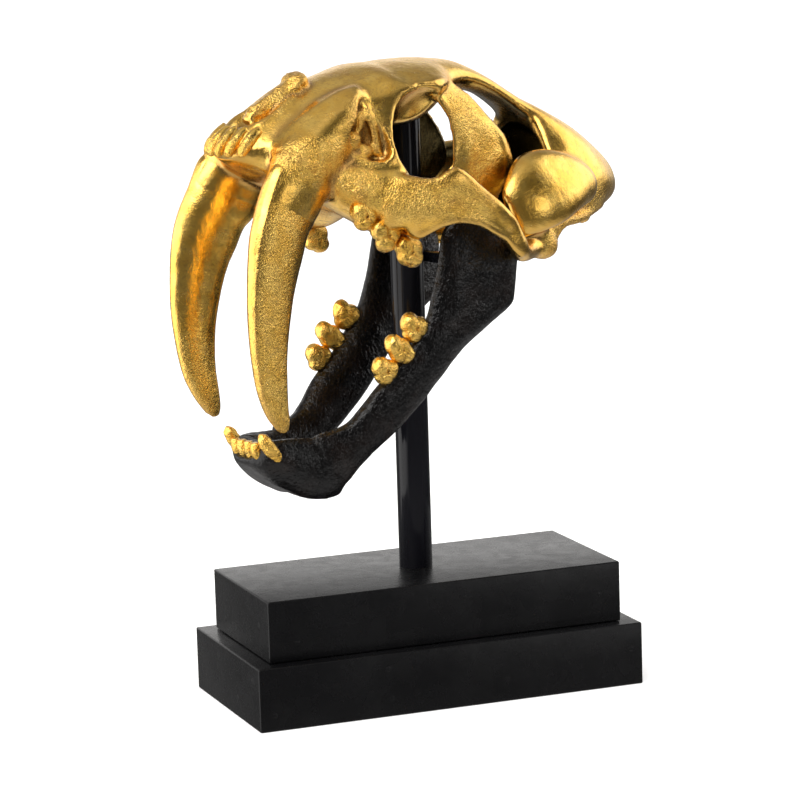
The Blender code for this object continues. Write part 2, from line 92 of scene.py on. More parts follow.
# %% Node helpers
def add_node(tree, kind, sockets=None, **settings):
    node = tree.nodes.new("ShaderNode" + kind)
    for key, value in settings.items():
        setattr(node, key, value)
    for key, value in (sockets or {}).items():
        if isinstance(value, bpy.types.NodeSocket):
            tree.links.new(value, node.inputs[key])
        else:
            node.inputs[key].default_value = value
    return node


def new_finish(name):
    finish = bpy.data.materials.new(name)
    finish.use_nodes = True
    tree = finish.node_tree
    return finish, tree, tree.nodes["Principled BSDF"]


def blend_colors(tree, share, first, second):
    mix = add_node(tree, "Mix", {"Factor": share}, data_type="RGBA")
    for index, color in ((6, first), (7, second)):
        if isinstance(color, bpy.types.NodeSocket):
            tree.links.new(color, mix.inputs[index])
        else:
            mix.inputs[index].default_value = (*color, 1)
    return mix.outputs[2]


def stretch(tree, value, low, high, to_low=0.0, to_high=1.0, smooth=False):
    return add_node(tree, "MapRange", {"Value": value, "From Min": low, "From Max": high,
                                       "To Min": to_low, "To Max": to_high},
                    interpolation_type="SMOOTHSTEP" if smooth else "LINEAR").outputs["Result"]


def maths(tree, operation, first, second):
    return add_node(tree, "Math", {0: first, 1: second}, operation=operation).outputs[0]


def noise_map(tree, scale, detail=3.0, distortion=0.0, rough=0.5):
    where = add_node(tree, "TexCoord").outputs["Object"]
    return add_node(tree, "TexNoise", {"Vector": where, "Scale": scale, "Detail": detail,
                                       "Distortion": distortion, "Roughness": rough}).outputs["Fac"]


def bump(tree, height, distance, below=None):
    sockets = {"Height": height, "Distance": distance}
    if below is not None:
        sockets["Normal"] = below
    return add_node(tree, "Bump", sockets).outputs["Normal"]


def attribute(tree, name):
    return add_node(tree, "Attribute", attribute_name=name).outputs["Fac"]


print("node helpers ready")

# %% [markdown]
# Studio. Metal shows only what stands round it, so the room matters as much as
# the gold. A pale floor lies under the plinth, and the room's light is painted
# on the world: a bright wall behind, glows at the left, overhead and at the
# right, and a dim front that gives the gold its dark bands. Each glow is a
# direction, so it lights the far side as softly as the near one. The camera
# itself sees a white room. One soft box overhead gives the plinth its sheen.

# %% Studio
scene = bpy.context.scene
scene.view_settings.view_transform = "Standard"
FLOOR_HALF = 30.0
FLOOR_WHITE = (0.93, 0.93, 0.93, 1)
FLOOR_GLOW = 0.2
ROOM_WHITE = (1, 1, 1, 1)
ROOM_WARM = (1, 0.985, 0.97, 1)
TOP_BOX = {"place": (0.1, -0.1, 2.6), "size": 2.0, "power": 30}
SKULL_HEIGHT = 0.3


def pale_floor():
    bm = bmesh.new()
    bmesh.ops.create_grid(bm, x_segments=2, y_segments=2, size=FLOOR_HALF)
    mesh = bpy.data.meshes.new("floor")
    bm.to_mesh(mesh)
    bm.free()
    floor = bpy.data.objects.new("floor", mesh)
    scene.collection.objects.link(floor)
    paint = bpy.data.materials.new("floor_white")
    paint.use_nodes = True
    shader = paint.node_tree.nodes["Principled BSDF"]
    shader.inputs["Base Color"].default_value = FLOOR_WHITE
    shader.inputs["Emission Color"].default_value = ROOM_WHITE
    shader.inputs["Emission Strength"].default_value = FLOOR_GLOW
    shader.inputs["Roughness"].default_value = 0.9
    shader.inputs["Specular IOR Level"].default_value = 0.0
    mesh.materials.append(paint)
    floor.visible_glossy = False
    return floor


def soft_box(name, place, size, power):
    data = bpy.data.lights.new(name, "AREA")
    data.shape = "RECTANGLE"
    data.size, data.size_y = size, size
    data.energy = power
    lamp = bpy.data.objects.new(name, data)
    lamp.location = place
    aim = Vector(place) - Vector((0, 0, SKULL_HEIGHT))
    lamp.rotation_euler = aim.to_track_quat("Z", "Y").to_euler()
    lamp.visible_glossy = False
    scene.collection.objects.link(lamp)


# Each band is a product of steps: the axis, where the step starts and ends, and its two values.
ROOM_BANDS = {
    "dim front": (("Y", 0.3, -0.6, 0.06, 0.15), ("Z", 0.35, 0.0, 0.35, 1.0)),
    "bright back": (("Y", 0.15, 0.65, 0.0, 1.1), ("Z", -0.08, 0.06, 0.1, 1.0),
                    ("Z", 0.26, 0.55, 1.0, 0.3)),
    "pale ground": (("Z", -0.32, -0.75, 0.0, 0.7),),
    "ceiling": (("Z", 0.72, 0.95, 0.0, 0.42),),
}
# Each glow: its direction, the cosines to it where it is full and where it is gone, its strength.
ROOM_GLOWS = {
    "left wall": ((-0.96, 0.10, 0.03), 0.90, 0.64, 2.4),
    "upper left box": ((-0.49, -0.47, 0.66), 0.96, 0.88, 4.4),
    "upper front haze": ((-0.30, -0.45, 0.80), 0.90, 0.60, 0.15),
    "right wall": ((0.90, 0.02, 0.40), 0.93, 0.82, 1.9),
    "low right window": ((0.55, -0.80, 0.12), 0.985, 0.955, 1.6),
}


def room():
    world = bpy.data.worlds.new("room")
    scene.world = world
    world.use_nodes = True
    tree = world.node_tree
    tree.nodes.clear()
    where = add_node(tree, "TexCoord").outputs["Generated"]
    split = add_node(tree, "SeparateXYZ", {0: where})
    glow = 0.0
    for steps in ROOM_BANDS.values():
        band = 1.0
        for axis, *values in steps:
            band = maths(tree, "MULTIPLY", band, stretch(tree, split.outputs[axis], *values, True))
        glow = maths(tree, "ADD", glow, band)
    for aim, full, gone, strength in ROOM_GLOWS.values():
        sockets = {0: where, 1: Vector(aim).normalized()}
        closeness = add_node(tree, "VectorMath", sockets, operation="DOT_PRODUCT").outputs["Value"]
        glow = maths(tree, "ADD", glow, stretch(tree, closeness, gone, full, 0.0, strength, True))
    lit = add_node(tree, "Background", {"Color": ROOM_WARM, "Strength": glow}).outputs[0]
    seen = add_node(tree, "Background", {"Color": ROOM_WHITE, "Strength": 1.0}).outputs[0]
    camera_ray = add_node(tree, "LightPath").outputs["Is Camera Ray"]
    mix = add_node(tree, "MixShader", {0: camera_ray, 1: lit, 2: seen}).outputs[0]
    add_node(tree, "OutputWorld", {"Surface": mix})


floor = pale_floor()
room()
soft_box("top_box", **TOP_BOX)
print("room glows:", len(ROOM_GLOWS))

# %% [markdown]
# Stations. A bone is a tube whose section keeps changing, so it is written
# down as stations along its length, the way a boat is. A smooth curve runs
# through the stations and fills in the sections between them.

# %% Smooth rows
SKULL_TURN = math.radians(15.0)
YAW = Matrix.Rotation(SKULL_TURN, 4, "Z")


def smooth_rows(rows, steps, closed=False):
    rows = np.array(rows, dtype=float)
    count = len(rows)
    out = []
    for i in range(count if closed else count - 1):
        if closed:
            a, b, c, d = (rows[(i + k) % count] for k in (-1, 0, 1, 2))
        else:
            a, b = rows[max(i - 1, 0)], rows[i]
            c, d = rows[i + 1], rows[min(i + 2, count - 1)]
        for k in range(steps):
            t = k / steps
            out.append(0.5 * (2 * b + (c - a) * t + (2 * a - 5 * b + 4 * c - d) * t ** 2
                              + (3 * b - a - 3 * c + d) * t ** 3))
    if not closed:
        out.append(rows[-1])
    return np.array(out)


print("rows between two stations:", len(smooth_rows([[0], [1]], 3)))

# %% [markdown]
# Skins. Each section starts as the circle operator's ring, its points are
# drawn to the section's outline, and the bridge operator joins each ring to
# the next. The first and last rings keep their caps, so every skin is closed.

# %% Skins, limbs and balls
def ring_edges(bm, outline, capped):
    made = bmesh.ops.create_circle(bm, cap_ends=capped, segments=len(outline), radius=1.0)
    edges = list({edge for vert in made["verts"] for edge in vert.link_edges})
    for vert, spot in zip(made["verts"], outline):
        vert.co = Vector(spot) * MM
    return edges


def skin_over(bm, outlines):
    last = len(outlines) - 1
    rings = [ring_edges(bm, outline, i in (0, last)) for i, outline in enumerate(outlines)]
    for ring, following in zip(rings, rings[1:]):
        bmesh.ops.bridge_loops(bm, edges=ring + following)


def add_limb(bm, stations, side=1, sides=24, steps=4):
    """A solid limb: each station has one edge point, the other edge and half the thickness."""
    rows = smooth_rows([[*upper, *lower, half] for upper, lower, half in stations], steps)
    upper, lower, half = rows[:, :3], rows[:, 3:6], rows[:, 6]
    middle = (upper + lower) / 2
    last = len(rows) - 1
    outlines = []
    for i in range(len(rows)):
        along = middle[min(i + 1, last)] - middle[max(i - 1, 0)]
        tall = (upper[i] - lower[i]) / 2
        thick = np.cross(tall, along)
        thick = thick / np.linalg.norm(thick) * half[i]
        turns = [2 * math.pi * k / sides for k in range(sides)]
        outline = [middle[i] + tall * math.cos(turn) + thick * math.sin(turn) for turn in turns]
        outlines.append([(x, y * side, z) for x, y, z in outline])
    skin_over(bm, outlines)


def add_skin(bm, sections, steps=4, round_steps=3):
    """A solid with equal halves, from half outlines (y, z) at stations along X."""
    rows = [[x] + [value for point in half for value in point] for x, half in sections]
    outlines = []
    for row in smooth_rows(rows, steps):
        half = [(row[i], row[i + 1]) for i in range(1, len(row), 2)]
        outline = [(-y, z) for y, z in half] + [(y, z) for y, z in half[-2:0:-1]]
        outlines.append([(row[0], y, z) for y, z in smooth_rows(outline, round_steps, True)])
    skin_over(bm, outlines)


def add_ball(bm, center, radii, turn=0.0, side=1):
    place = (Matrix.Translation(Vector((center[0], center[1] * side, center[2])) * MM)
             @ Matrix.Rotation(turn, 4, "Y") @ Matrix.Diagonal((*(Vector(radii) * MM), 1.0)))
    bmesh.ops.create_uvsphere(bm, u_segments=24, v_segments=16, radius=1.0, matrix=place)


def both_sides(add, bm, *values, **options):
    for side in (1, -1):
        add(bm, *values, side=side, **options)


print("skin helpers ready")

# %% [markdown]
# Clay. Overlapping skins become one surface when a voxel remesh is wrapped
# round all of them, which is how a sculptor fuses lumps of clay. A short
# smoothing rounds the joints, and a Boolean carves what is hollow.

# %% Fuse and carve
def new_piece(name, bm):
    bmesh.ops.recalc_face_normals(bm, faces=bm.faces)
    mesh = bpy.data.meshes.new(name)
    bm.to_mesh(mesh)
    bm.free()
    piece = bpy.data.objects.new(name, mesh)
    scene.collection.objects.link(piece)
    return piece


def reopened(piece):
    bm = bmesh.new()
    bm.from_mesh(piece.data)
    return bm


def closed_up(piece, bm):
    bm.to_mesh(piece.data)
    bm.free()
    return piece


def settle(piece):
    seen = piece.evaluated_get(bpy.context.evaluated_depsgraph_get())
    mesh = bpy.data.meshes.new_from_object(seen)
    old = piece.data
    piece.modifiers.clear()
    piece.data = mesh
    mesh.name = piece.name
    bpy.data.meshes.remove(old)
    return piece


def fuse(piece, voxel, rounds):
    wrap = piece.modifiers.new("wrap", "REMESH")
    wrap.mode = "VOXEL"
    wrap.voxel_size = voxel * MM
    soften = piece.modifiers.new("soften", "SMOOTH")
    soften.factor = 0.5
    soften.iterations = rounds
    return settle(piece)


def carve(piece, tool):
    cut = piece.modifiers.new("carve", "BOOLEAN")
    cut.operation = "DIFFERENCE"
    cut.solver = "EXACT"
    cut.object = tool
    settle(piece)
    bpy.data.objects.remove(tool, do_unlink=True)
    return piece


def largest_part(piece):
    """Drop the crumbs that a carving can leave."""
    bm = reopened(piece)
    todo = set(bm.verts)
    parts = []
    while todo:
        start = todo.pop()
        part, edge = {start}, [start]
        while edge:
            for link in edge.pop().link_edges:
                for vert in link.verts:
                    if vert in todo:
                        todo.discard(vert)
                        part.add(vert)
                        edge.append(vert)
        parts.append(part)
    keep = max(parts, key=len)
    bmesh.ops.delete(bm, geom=[vert for vert in bm.verts if vert not in keep], context="VERTS")
    return closed_up(piece, bm)


def triangles(piece):
    return sum(len(face.vertices) - 2 for face in piece.data.polygons)


print("clay helpers ready")

# %% [markdown]
# Carving strokes. A sculptor draws grooves and ridges over the finished
# surface. Here a stroke is a short path in space: every point of the mesh
# nearer to it than its reach moves along its own normal, most on the path and
# less towards the sides. A path that is one point long makes a dimple or a
# bump. The strokes are drawn in the skull's own frame, on both sides.

# %% Strokes
SOFT_ROUNDS = 30
SOFT_SHARE = 0.6


def mesh_points(piece):
    count = len(piece.data.vertices)
    points, normals = np.empty(count * 3), np.empty(count * 3)
    piece.data.vertices.foreach_get("co", points)
    piece.data.vertices.foreach_get("normal", normals)
    return points.reshape(-1, 3) / MM, normals.reshape(-1, 3)


def raise_points(piece, heights):
    """Move every point along its own normal, by so many millimetres."""
    points, normals = mesh_points(piece)
    points = points + normals * heights[:, None]
    piece.data.vertices.foreach_set("co", (points * MM).ravel())
    piece.data.update()


def path_distance(points, path):
    """How far each point is from a path through space, in millimetres."""
    path = np.array(path, dtype=float)
    if len(path) == 1:
        return np.linalg.norm(points - path[0], axis=1)
    nearest = np.full(len(points), 1e9)
    for start, end in zip(path, path[1:]):
        along = end - start
        share = np.clip((points - start) @ along / (along @ along), 0.0, 1.0)
        gap = np.linalg.norm(points - start - share[:, None] * along, axis=1)
        nearest = np.minimum(nearest, gap)
    return nearest


def mirrored(path):
    return [(x, -y, z) for x, y, z in path]


def carve_strokes(piece, strokes, sides=(1, -1)):
    points, _ = mesh_points(piece)
    shift = np.zeros(len(points))
    for path, reach, height in strokes:
        for side in sides:
            gap = path_distance(points, path if side == 1 else mirrored(path))
            shift += height * np.exp(-(gap / reach) ** 2)
    raise_points(piece, shift)


def nearness(points, path, reach):
    """One on the path, nought beyond its reach."""
    both = np.minimum(path_distance(points, path), path_distance(points, mirrored(path)))
    return np.clip(1.5 - both / reach, 0.0, 1.0)


def lumps(points, size, seed):
    """Soft noise from -1 to 1, with lumps of about this size in millimetres."""
    return np.array([noise.noise(Vector(point) / size + Vector((seed, 0, 0))) for point in points])


def roughen(piece, paths, reach, size, height, seed):
    """Raise worn, crinkled lumps near the paths."""
    points, _ = mesh_points(piece)
    mask = np.zeros(len(points))
    for path in paths:
        mask = np.maximum(mask, nearness(points, path, reach))
    chosen = np.flatnonzero(mask > 0.01)
    field = np.zeros(len(points))
    field[chosen] = 1.0 - 2.0 * np.abs(lumps(points[chosen], size, seed))
    raise_points(piece, field * mask * height)


def store(piece, name, values):
    layer = piece.data.attributes.get(name) or piece.data.attributes.new(name, "FLOAT", "POINT")
    layer.data.foreach_set("value", np.asarray(values, dtype=np.float32))


def hollowness(piece):
    """How far the surface lies below (above, if negative) its own smoothed shape, in millimetres."""
    points, normals = mesh_points(piece)
    edges = np.empty(len(piece.data.edges) * 2, dtype=np.int64)
    piece.data.edges.foreach_get("vertices", edges)
    a, b = edges.reshape(-1, 2).T
    links = np.bincount(a, minlength=len(points)) + np.bincount(b, minlength=len(points))
    soft = points.copy()
    for _ in range(SOFT_ROUNDS):
        total = np.zeros_like(soft)
        for axis in range(3):
            total[:, axis] = (np.bincount(a, weights=soft[b, axis], minlength=len(points))
                              + np.bincount(b, weights=soft[a, axis], minlength=len(points)))
        soft = (1 - SOFT_SHARE) * soft + SOFT_SHARE * total / np.maximum(links, 1)[:, None]
    return np.einsum("ij,ij->i", soft - points, normals)


def facing(points, normals, path, reach):
    """One where the surface looks at the path from within its reach, nought elsewhere."""
    path = np.array(path, dtype=float)
    spots = np.concatenate([start + (end - start) * np.linspace(0, 1, 12)[:, None]
                            for start, end in zip(path, path[1:])])
    best, gap = np.zeros(len(points)), np.full(len(points), 1e9)
    for spot in spots:
        toward = spot - points
        far = np.linalg.norm(toward, axis=1)
        near = far < gap
        gap[near] = far[near]
        best[near] = np.einsum("ij,ij->i", toward, normals)[near] / far[near]
    return np.clip(best * 4 - 0.4, 0, 1) * np.clip((reach - gap) / 8, 0, 1)


def dress(piece, patches, reach):
    """Note for the finish where it wrinkles and how far each point lies in a hollow or on an edge, for
    painted shade in hollows and worn leaf on edges, then place the piece.
    """
    points, _ = mesh_points(piece)
    wrinkle = np.zeros(len(points))
    for path in patches:
        wrinkle = np.maximum(wrinkle, nearness(points, path, reach))
    store(piece, "wrinkle", wrinkle)
    store(piece, "hollow", hollowness(piece))
    piece.data.transform(YAW)
    piece.data.polygons.foreach_set("use_smooth", [True] * len(piece.data.polygons))
    piece.data.update()
    return piece


print("stroke helpers ready")

# %% [markdown]
# The cranium's clay. Three long skins are the snout, the roof of the skull
# and its back. The roots of the sabres swell on both sides of the snout.

# %% Cranium, first clay
SNOUT = [
    (-160, [(0, 433), (8, 431), (14, 426), (16, 420), (13, 417), (7, 415), (0, 415)]),
    (-154, [(0, 438), (10, 435), (18, 429), (22, 421), (18, 415), (9, 412), (0, 412)]),
    (-146, [(0, 443), (12, 440), (22, 432), (28, 421), (25, 412), (13, 408), (0, 409)]),
    (-136, [(0, 448), (14, 444.5), (26, 434), (34, 424), (32, 408), (20, 403), (0, 405)]),
    (-122, [(0, 454), (16, 450), (29, 440), (39, 427), (40, 405), (30, 395), (0, 398)]),
    (-105, [(0, 459), (18, 455), (32, 447), (43, 430), (46, 402), (38, 388), (0, 391)]),
    (-88, [(0, 465), (19, 460.5), (34, 451), (45, 431), (51, 398), (44, 375), (0, 378)]),
    (-72, [(0, 469), (22, 464.5), (38, 455), (51, 432), (58, 394), (49, 363), (0, 371)]),
    (-56, [(0, 472.5), (25, 468), (42, 459), (57, 432), (64, 391), (53, 352), (0, 366)]),
    (-44, [(0, 474.5), (27, 471), (46, 460), (59, 430), (66, 387), (52, 349), (0, 364)]),
    (-34, [(0, 475.5), (27, 472), (46, 462), (55, 440), (58, 400), (47, 358), (0, 370)]),
]
ROOF = [
    (-60, [(0, 471.5), (25, 467), (41, 458), (50, 450), (42, 440), (24, 427), (0, 423)]),
    (-30, [(0, 475), (26, 471), (44, 463), (52, 455), (44, 444), (23, 429), (0, 425)]),
    (-8, [(0, 476), (26, 472.5), (44, 465), (52, 458), (44, 447), (22, 431), (0, 426)]),
    (8, [(0, 476), (25, 472), (40, 465), (46, 459), (38, 449), (19, 435), (0, 430)]),
    (24, [(0, 474.5), (18, 471), (28, 464), (31, 458), (24, 450), (12, 443), (0, 441)]),
    (45, [(0, 471), (13, 468), (20, 463), (22, 459), (16, 454), (8, 450), (0, 449)]),
    (70, [(0, 459.5), (13, 457), (20, 452), (21, 449), (15, 446), (7, 444), (0, 443)]),
    (95, [(0, 444), (13, 442), (20, 436), (21, 432), (15, 430), (7, 429), (0, 429)]),
    (118, [(0, 431), (15, 428), (26, 420), (29, 413), (22, 409), (10, 410), (0, 411)]),
]
OCCIPUT = [
    (104, [(0, 439), (13, 437), (22, 430), (33, 414), (44, 392), (45, 368), (28, 350), (0, 345)]),
    (113, [(0, 434.5), (17, 431.5), (29, 422), (39, 406), (47, 386), (47, 362), (28, 344), (0, 340)]),
    (125, [(0, 428), (20, 424.5), (34, 414), (44, 398), (50, 378), (46, 355), (27, 341), (0, 337)]),
    (145, [(0, 417.5), (20, 413), (34, 403), (43, 388), (46, 370), (41, 353), (25, 343), (0, 339)]),
    (165, [(0, 403), (17, 399), (28, 390), (36, 377), (36, 365), (30, 355), (18, 348), (0, 344)]),
    (180, [(0, 391), (13, 388), (20, 381), (25, 371), (25, 363), (19, 356), (11, 351), (0, 349)]),
    (190, [(0, 382), (8, 380), (12, 375), (15, 368), (14, 362), (10, 357), (6, 354), (0, 353)]),
    (195, [(0, 373), (3, 372), (5, 370), (6, 367), (5, 364), (4, 362), (2, 361), (0, 361)]),
]
SABRE_ROOT = [
    ((-164, -48.5, 374), (-119, -39.5, 360), 10.8),
    ((-161.5, -48, 384.5), (-111.5, -37.6, 366.5), 13.2),
    ((-157.5, -47.4, 396), (-104, -36.8, 376), 14.8),
    ((-152.5, -46.3, 404.5), (-100, -38, 386), 15.4),
    ((-145, -44.5, 415), (-95, -41, 396), 15.8),
    ((-137, -42, 427), (-83, -43, 412), 16.5),
    ((-119, -41, 437), (-73, -44, 428), 15.0),
    ((-99, -40, 448), (-65, -44, 442), 12.0),
    ((-82, -38, 456), (-60, -42, 454), 7.0),
]
VALLEY_FILL = [
    ((-66, -34, 462), (-66, -46, 455), 5),
    ((-82, -32, 459), (-80, -46, 448), 6),
    ((-98, -31, 452), (-94, -44, 440), 7),
    ((-113, -30, 444), (-108, -42, 434), 7),
    ((-127, -30, 436), (-122, -40, 426), 6),
    ((-138, -30, 427), (-134, -38, 420), 5),
]
bm = bmesh.new()
for outline in (SNOUT, ROOF, OCCIPUT):
    add_skin(bm, outline)
both_sides(add_limb, bm, SABRE_ROOT)
both_sides(add_limb, bm, VALLEY_FILL)
both_sides(add_ball, bm, (-56, -58, 367), (17, 9, 12), 0.4)
both_sides(add_ball, bm, (-34, -54, 368), (16, 9, 8))
cranium = fuse(new_piece("cranium_gilt", bm), voxel=2.4, rounds=12)
print("first clay:", triangles(cranium), "triangles")

# %% [markdown]
# The hollows. The braincase, the two eye openings and the space behind the
# palate are carved out with one tool made of the same kind of skins, so the
# skull can be looked through as the real cast can.

# %% Cranium, hollows
BRAIN_HOLLOW = [
    (72, [(0, 436), (9, 434), (20, 424), (30, 404), (38, 384), (38, 366), (24, 356), (0, 354)]),
    (95, [(0, 422), (12, 420), (24, 412), (34, 398), (39, 382), (38, 364), (24, 355), (0, 353)]),
    (120, [(0, 416), (14, 413), (26, 404), (35, 390), (40, 374), (36, 360), (20, 353), (0, 352)]),
    (145, [(0, 404), (12, 401), (24, 392), (32, 380), (34, 368), (29, 359), (16, 354), (0, 352)]),
    (160, [(0, 390), (7, 388), (13, 383), (18, 375), (18, 367), (14, 361), (8, 358), (0, 357)]),
]
bm = bmesh.new()
add_skin(bm, BRAIN_HOLLOW)
add_ball(bm, (-131, 0, 449), (25, 16, 14), -0.5)
add_ball(bm, (2, 0, 383), (52, 60, 44))
both_sides(add_ball, bm, (-17, -62, 424), (34, 36, 37))
carve(cranium, fuse(new_piece("hollow_tool", bm), voxel=2.4, rounds=2))
print("hollowed:", triangles(cranium), "triangles")

# %% [markdown]
# Bars and plates. The cheek arch, the thin leaf-shaped wall of the braincase,
# the lobe at the temple and the rope-like ridge under it are solid limbs laid
# over the clay and fused to it.

# %% Cranium, bars and plates
CHEEK_ARCH = [
    ((-98, -44, 411), (-90, -42, 380), 10.0),
    ((-82, -50, 408), (-76, -49, 370), 12.0),
    ((-62, -58, 404), (-60, -56, 361), 13.0),
    ((-46, -73, 399), (-40, -66, 353), 10.0),
    ((-31, -80, 397), (-25, -76, 359), 7.5),
    ((-14, -84, 403), (-14, -82, 361), 6.5),
    ((6, -88, 386.5), (0, -86, 358), 6.5),
    ((22, -88, 374), (14, -86, 350), 6.5),
    ((37, -85, 361), (28, -83, 342), 7.0),
    ((46, -81, 346), (41, -79, 331), 7.5),
    ((54, -73, 340), (50, -73, 326), 8.0),
    ((68, -62, 342), (66, -62, 325), 9.0),
    ((84, -56, 342), (84, -56, 325), 9.0),
]
LEAF_WALL = [
    ((-14, -38, 462), (28, -32, 455), 3.2),
    ((-5, -44, 450), (40, -35, 444), 3.2),
    ((4, -47, 437), (53, -37, 430), 3.2),
    ((8, -48, 423), (64, -40, 418), 3.2),
    ((9, -48, 408), (72, -40, 400), 3.2),
    ((5, -46, 393), (69.5, -41, 386), 3.2),
    ((12, -42, 376), (58, -42, 374), 3.2),
    ((24, -38, 360), (54, -40, 362), 3.5),
    ((36, -36, 350), (56, -38, 352), 4.5),
]
TEMPLE_LOBE = [
    ((42, -63, 377), (52, -67, 342), 5.0),
    ((50, -60, 389), (61, -72, 344), 9.5),
    ((64, -54, 400.5), (75, -75, 347), 13.0),
    ((82, -49, 404), (91, -74, 351), 14.5),
    ((100, -47, 402), (106, -69, 356), 14.5),
    ((115, -46, 397), (119, -62, 359), 13.5),
    ((127, -45, 390.5), (130, -56, 361), 11.5),
    ((134.5, -45, 384), (136, -50, 365), 8.0),
]
NECK_RIDGE = [
    ((70, -58, 345), (74, -58, 334), 6.0),
    ((90, -56, 349), (92, -56, 340), 6.0),
    ((107, -52, 354), (110, -50, 344), 6.0),
    ((126, -47, 353), (129, -44, 345), 5.5),
    ((145, -37, 356), (148, -34, 348), 5.5),
    ((162, -26, 358), (165, -24, 350), 5.5),
]
EAR_RIDGE = [
    ((98, -52, 348), (108, -50, 346), 4.0),
    ((92, -54, 340), (102, -51, 338), 4.5),
    ((84, -56, 331), (95, -53, 330), 5.0),
]
LOBE_FOOT = [
    ((51, -60, 376), (74, -64, 372), 7.0),
    ((50, -61, 362), (80, -64, 356), 7.5),
    ((53, -60, 350), (88, -62, 343), 8.0),
    ((64, -59, 341), (96, -59, 335), 8.0),
]
PALATE_WING = [
    ((40, -35, 356), (40, -35, 344), 5.0),
    ((60, -38, 356), (60, -38, 342), 5.5),
    ((84, -42, 354), (84, -42, 342), 6.0),
    ((108, -42, 354), (108, -42, 344), 6.0),
]
bm = reopened(cranium)
for limb in (CHEEK_ARCH, LEAF_WALL, TEMPLE_LOBE, LOBE_FOOT, NECK_RIDGE, EAR_RIDGE, PALATE_WING):
    both_sides(add_limb, bm, limb)
both_sides(add_ball, bm, (84, -56, 333), (13, 10, 10.5))
both_sides(add_ball, bm, (158, -12, 344), (8, 6, 6))
fuse(closed_up(cranium, bm), voxel=2.0, rounds=3)
print("with bars and plates:", triangles(cranium), "triangles")

# %% [markdown]
# The small pocket in front of the eye, and the nose. A pointed pocket opens in
# the cheek with knobbly bone inside. The nose is scooped out, and a rolled
# bone with a curled knob at its top end lies in the scoop.

# %% Cranium, pocket and nose
POCKET = [
    ((-69, -53, 461), (-64, -53, 460), 4),
    ((-76, -53, 451), (-62, -54, 446), 11),
    ((-80, -54, 441), (-58, -57, 435), 14),
    ((-87, -54, 430), (-55, -59, 425), 16),
    ((-84, -56, 420), (-54, -60, 414), 15),
    ((-75, -58, 411), (-60, -60, 409), 8),
]
POCKET_BAR = [
    ((-69, -47, 450), (-65, -47, 449), 2.5),
    ((-67, -49, 438), (-61, -50, 436), 3),
    ((-65, -50, 426), (-58, -51, 424), 3.2),
    ((-64, -51, 414), (-57, -52, 411), 3.2),
]
NOSE_SCOOP = [
    ((-155, -10, 446), (-155, 10, 446), 3),
    ((-146, -17, 452), (-146, 17, 452), 7),
    ((-132, -17, 457), (-132, 17, 457), 9),
    ((-118, -15, 463), (-118, 15, 463), 9),
    ((-106, -12, 470), (-106, 12, 470), 7),
]
NOSE_ROLL = [
    ((-141, -9, 440), (-141, 1, 440), 3.5),
    ((-133, -10, 445), (-133, 2, 446), 6),
    ((-122, -11, 450), (-122, 3, 451), 7),
    ((-110, -11, 456), (-110, 3, 458), 7),
    ((-99, -11, 463), (-99, 4, 464), 6.5),
]
bm = bmesh.new()
both_sides(add_limb, bm, POCKET)
add_limb(bm, NOSE_SCOOP)
carve(cranium, fuse(new_piece("pocket_tool", bm), voxel=1.8, rounds=2))
bm = reopened(cranium)
add_limb(bm, NOSE_ROLL)
add_ball(bm, (-97, -3, 465), (9, 11, 7.5), -0.4)
add_ball(bm, (-101, -9, 462), (5, 4.5, 5.5))
both_sides(add_limb, bm, POCKET_BAR)
both_sides(add_ball, bm, (-79, -47, 425), (5, 8, 7))
both_sides(add_ball, bm, (-70, -48, 416.5), (6.5, 7, 5.5))
both_sides(add_ball, bm, (-73, -45, 437), (3, 7, 9), 0.25)
fuse(closed_up(cranium, bm), voxel=1.7, rounds=2)
largest_part(cranium)
print("with pocket and nose:", triangles(cranium), "triangles")

# %% [markdown]
# Sculpting the cranium: the valley between nose and sabre root, the lips round
# the leaf-shaped wall, the hollow along the cheek arch, the bulges over the
# teeth, and the worn crinkles of old bone.

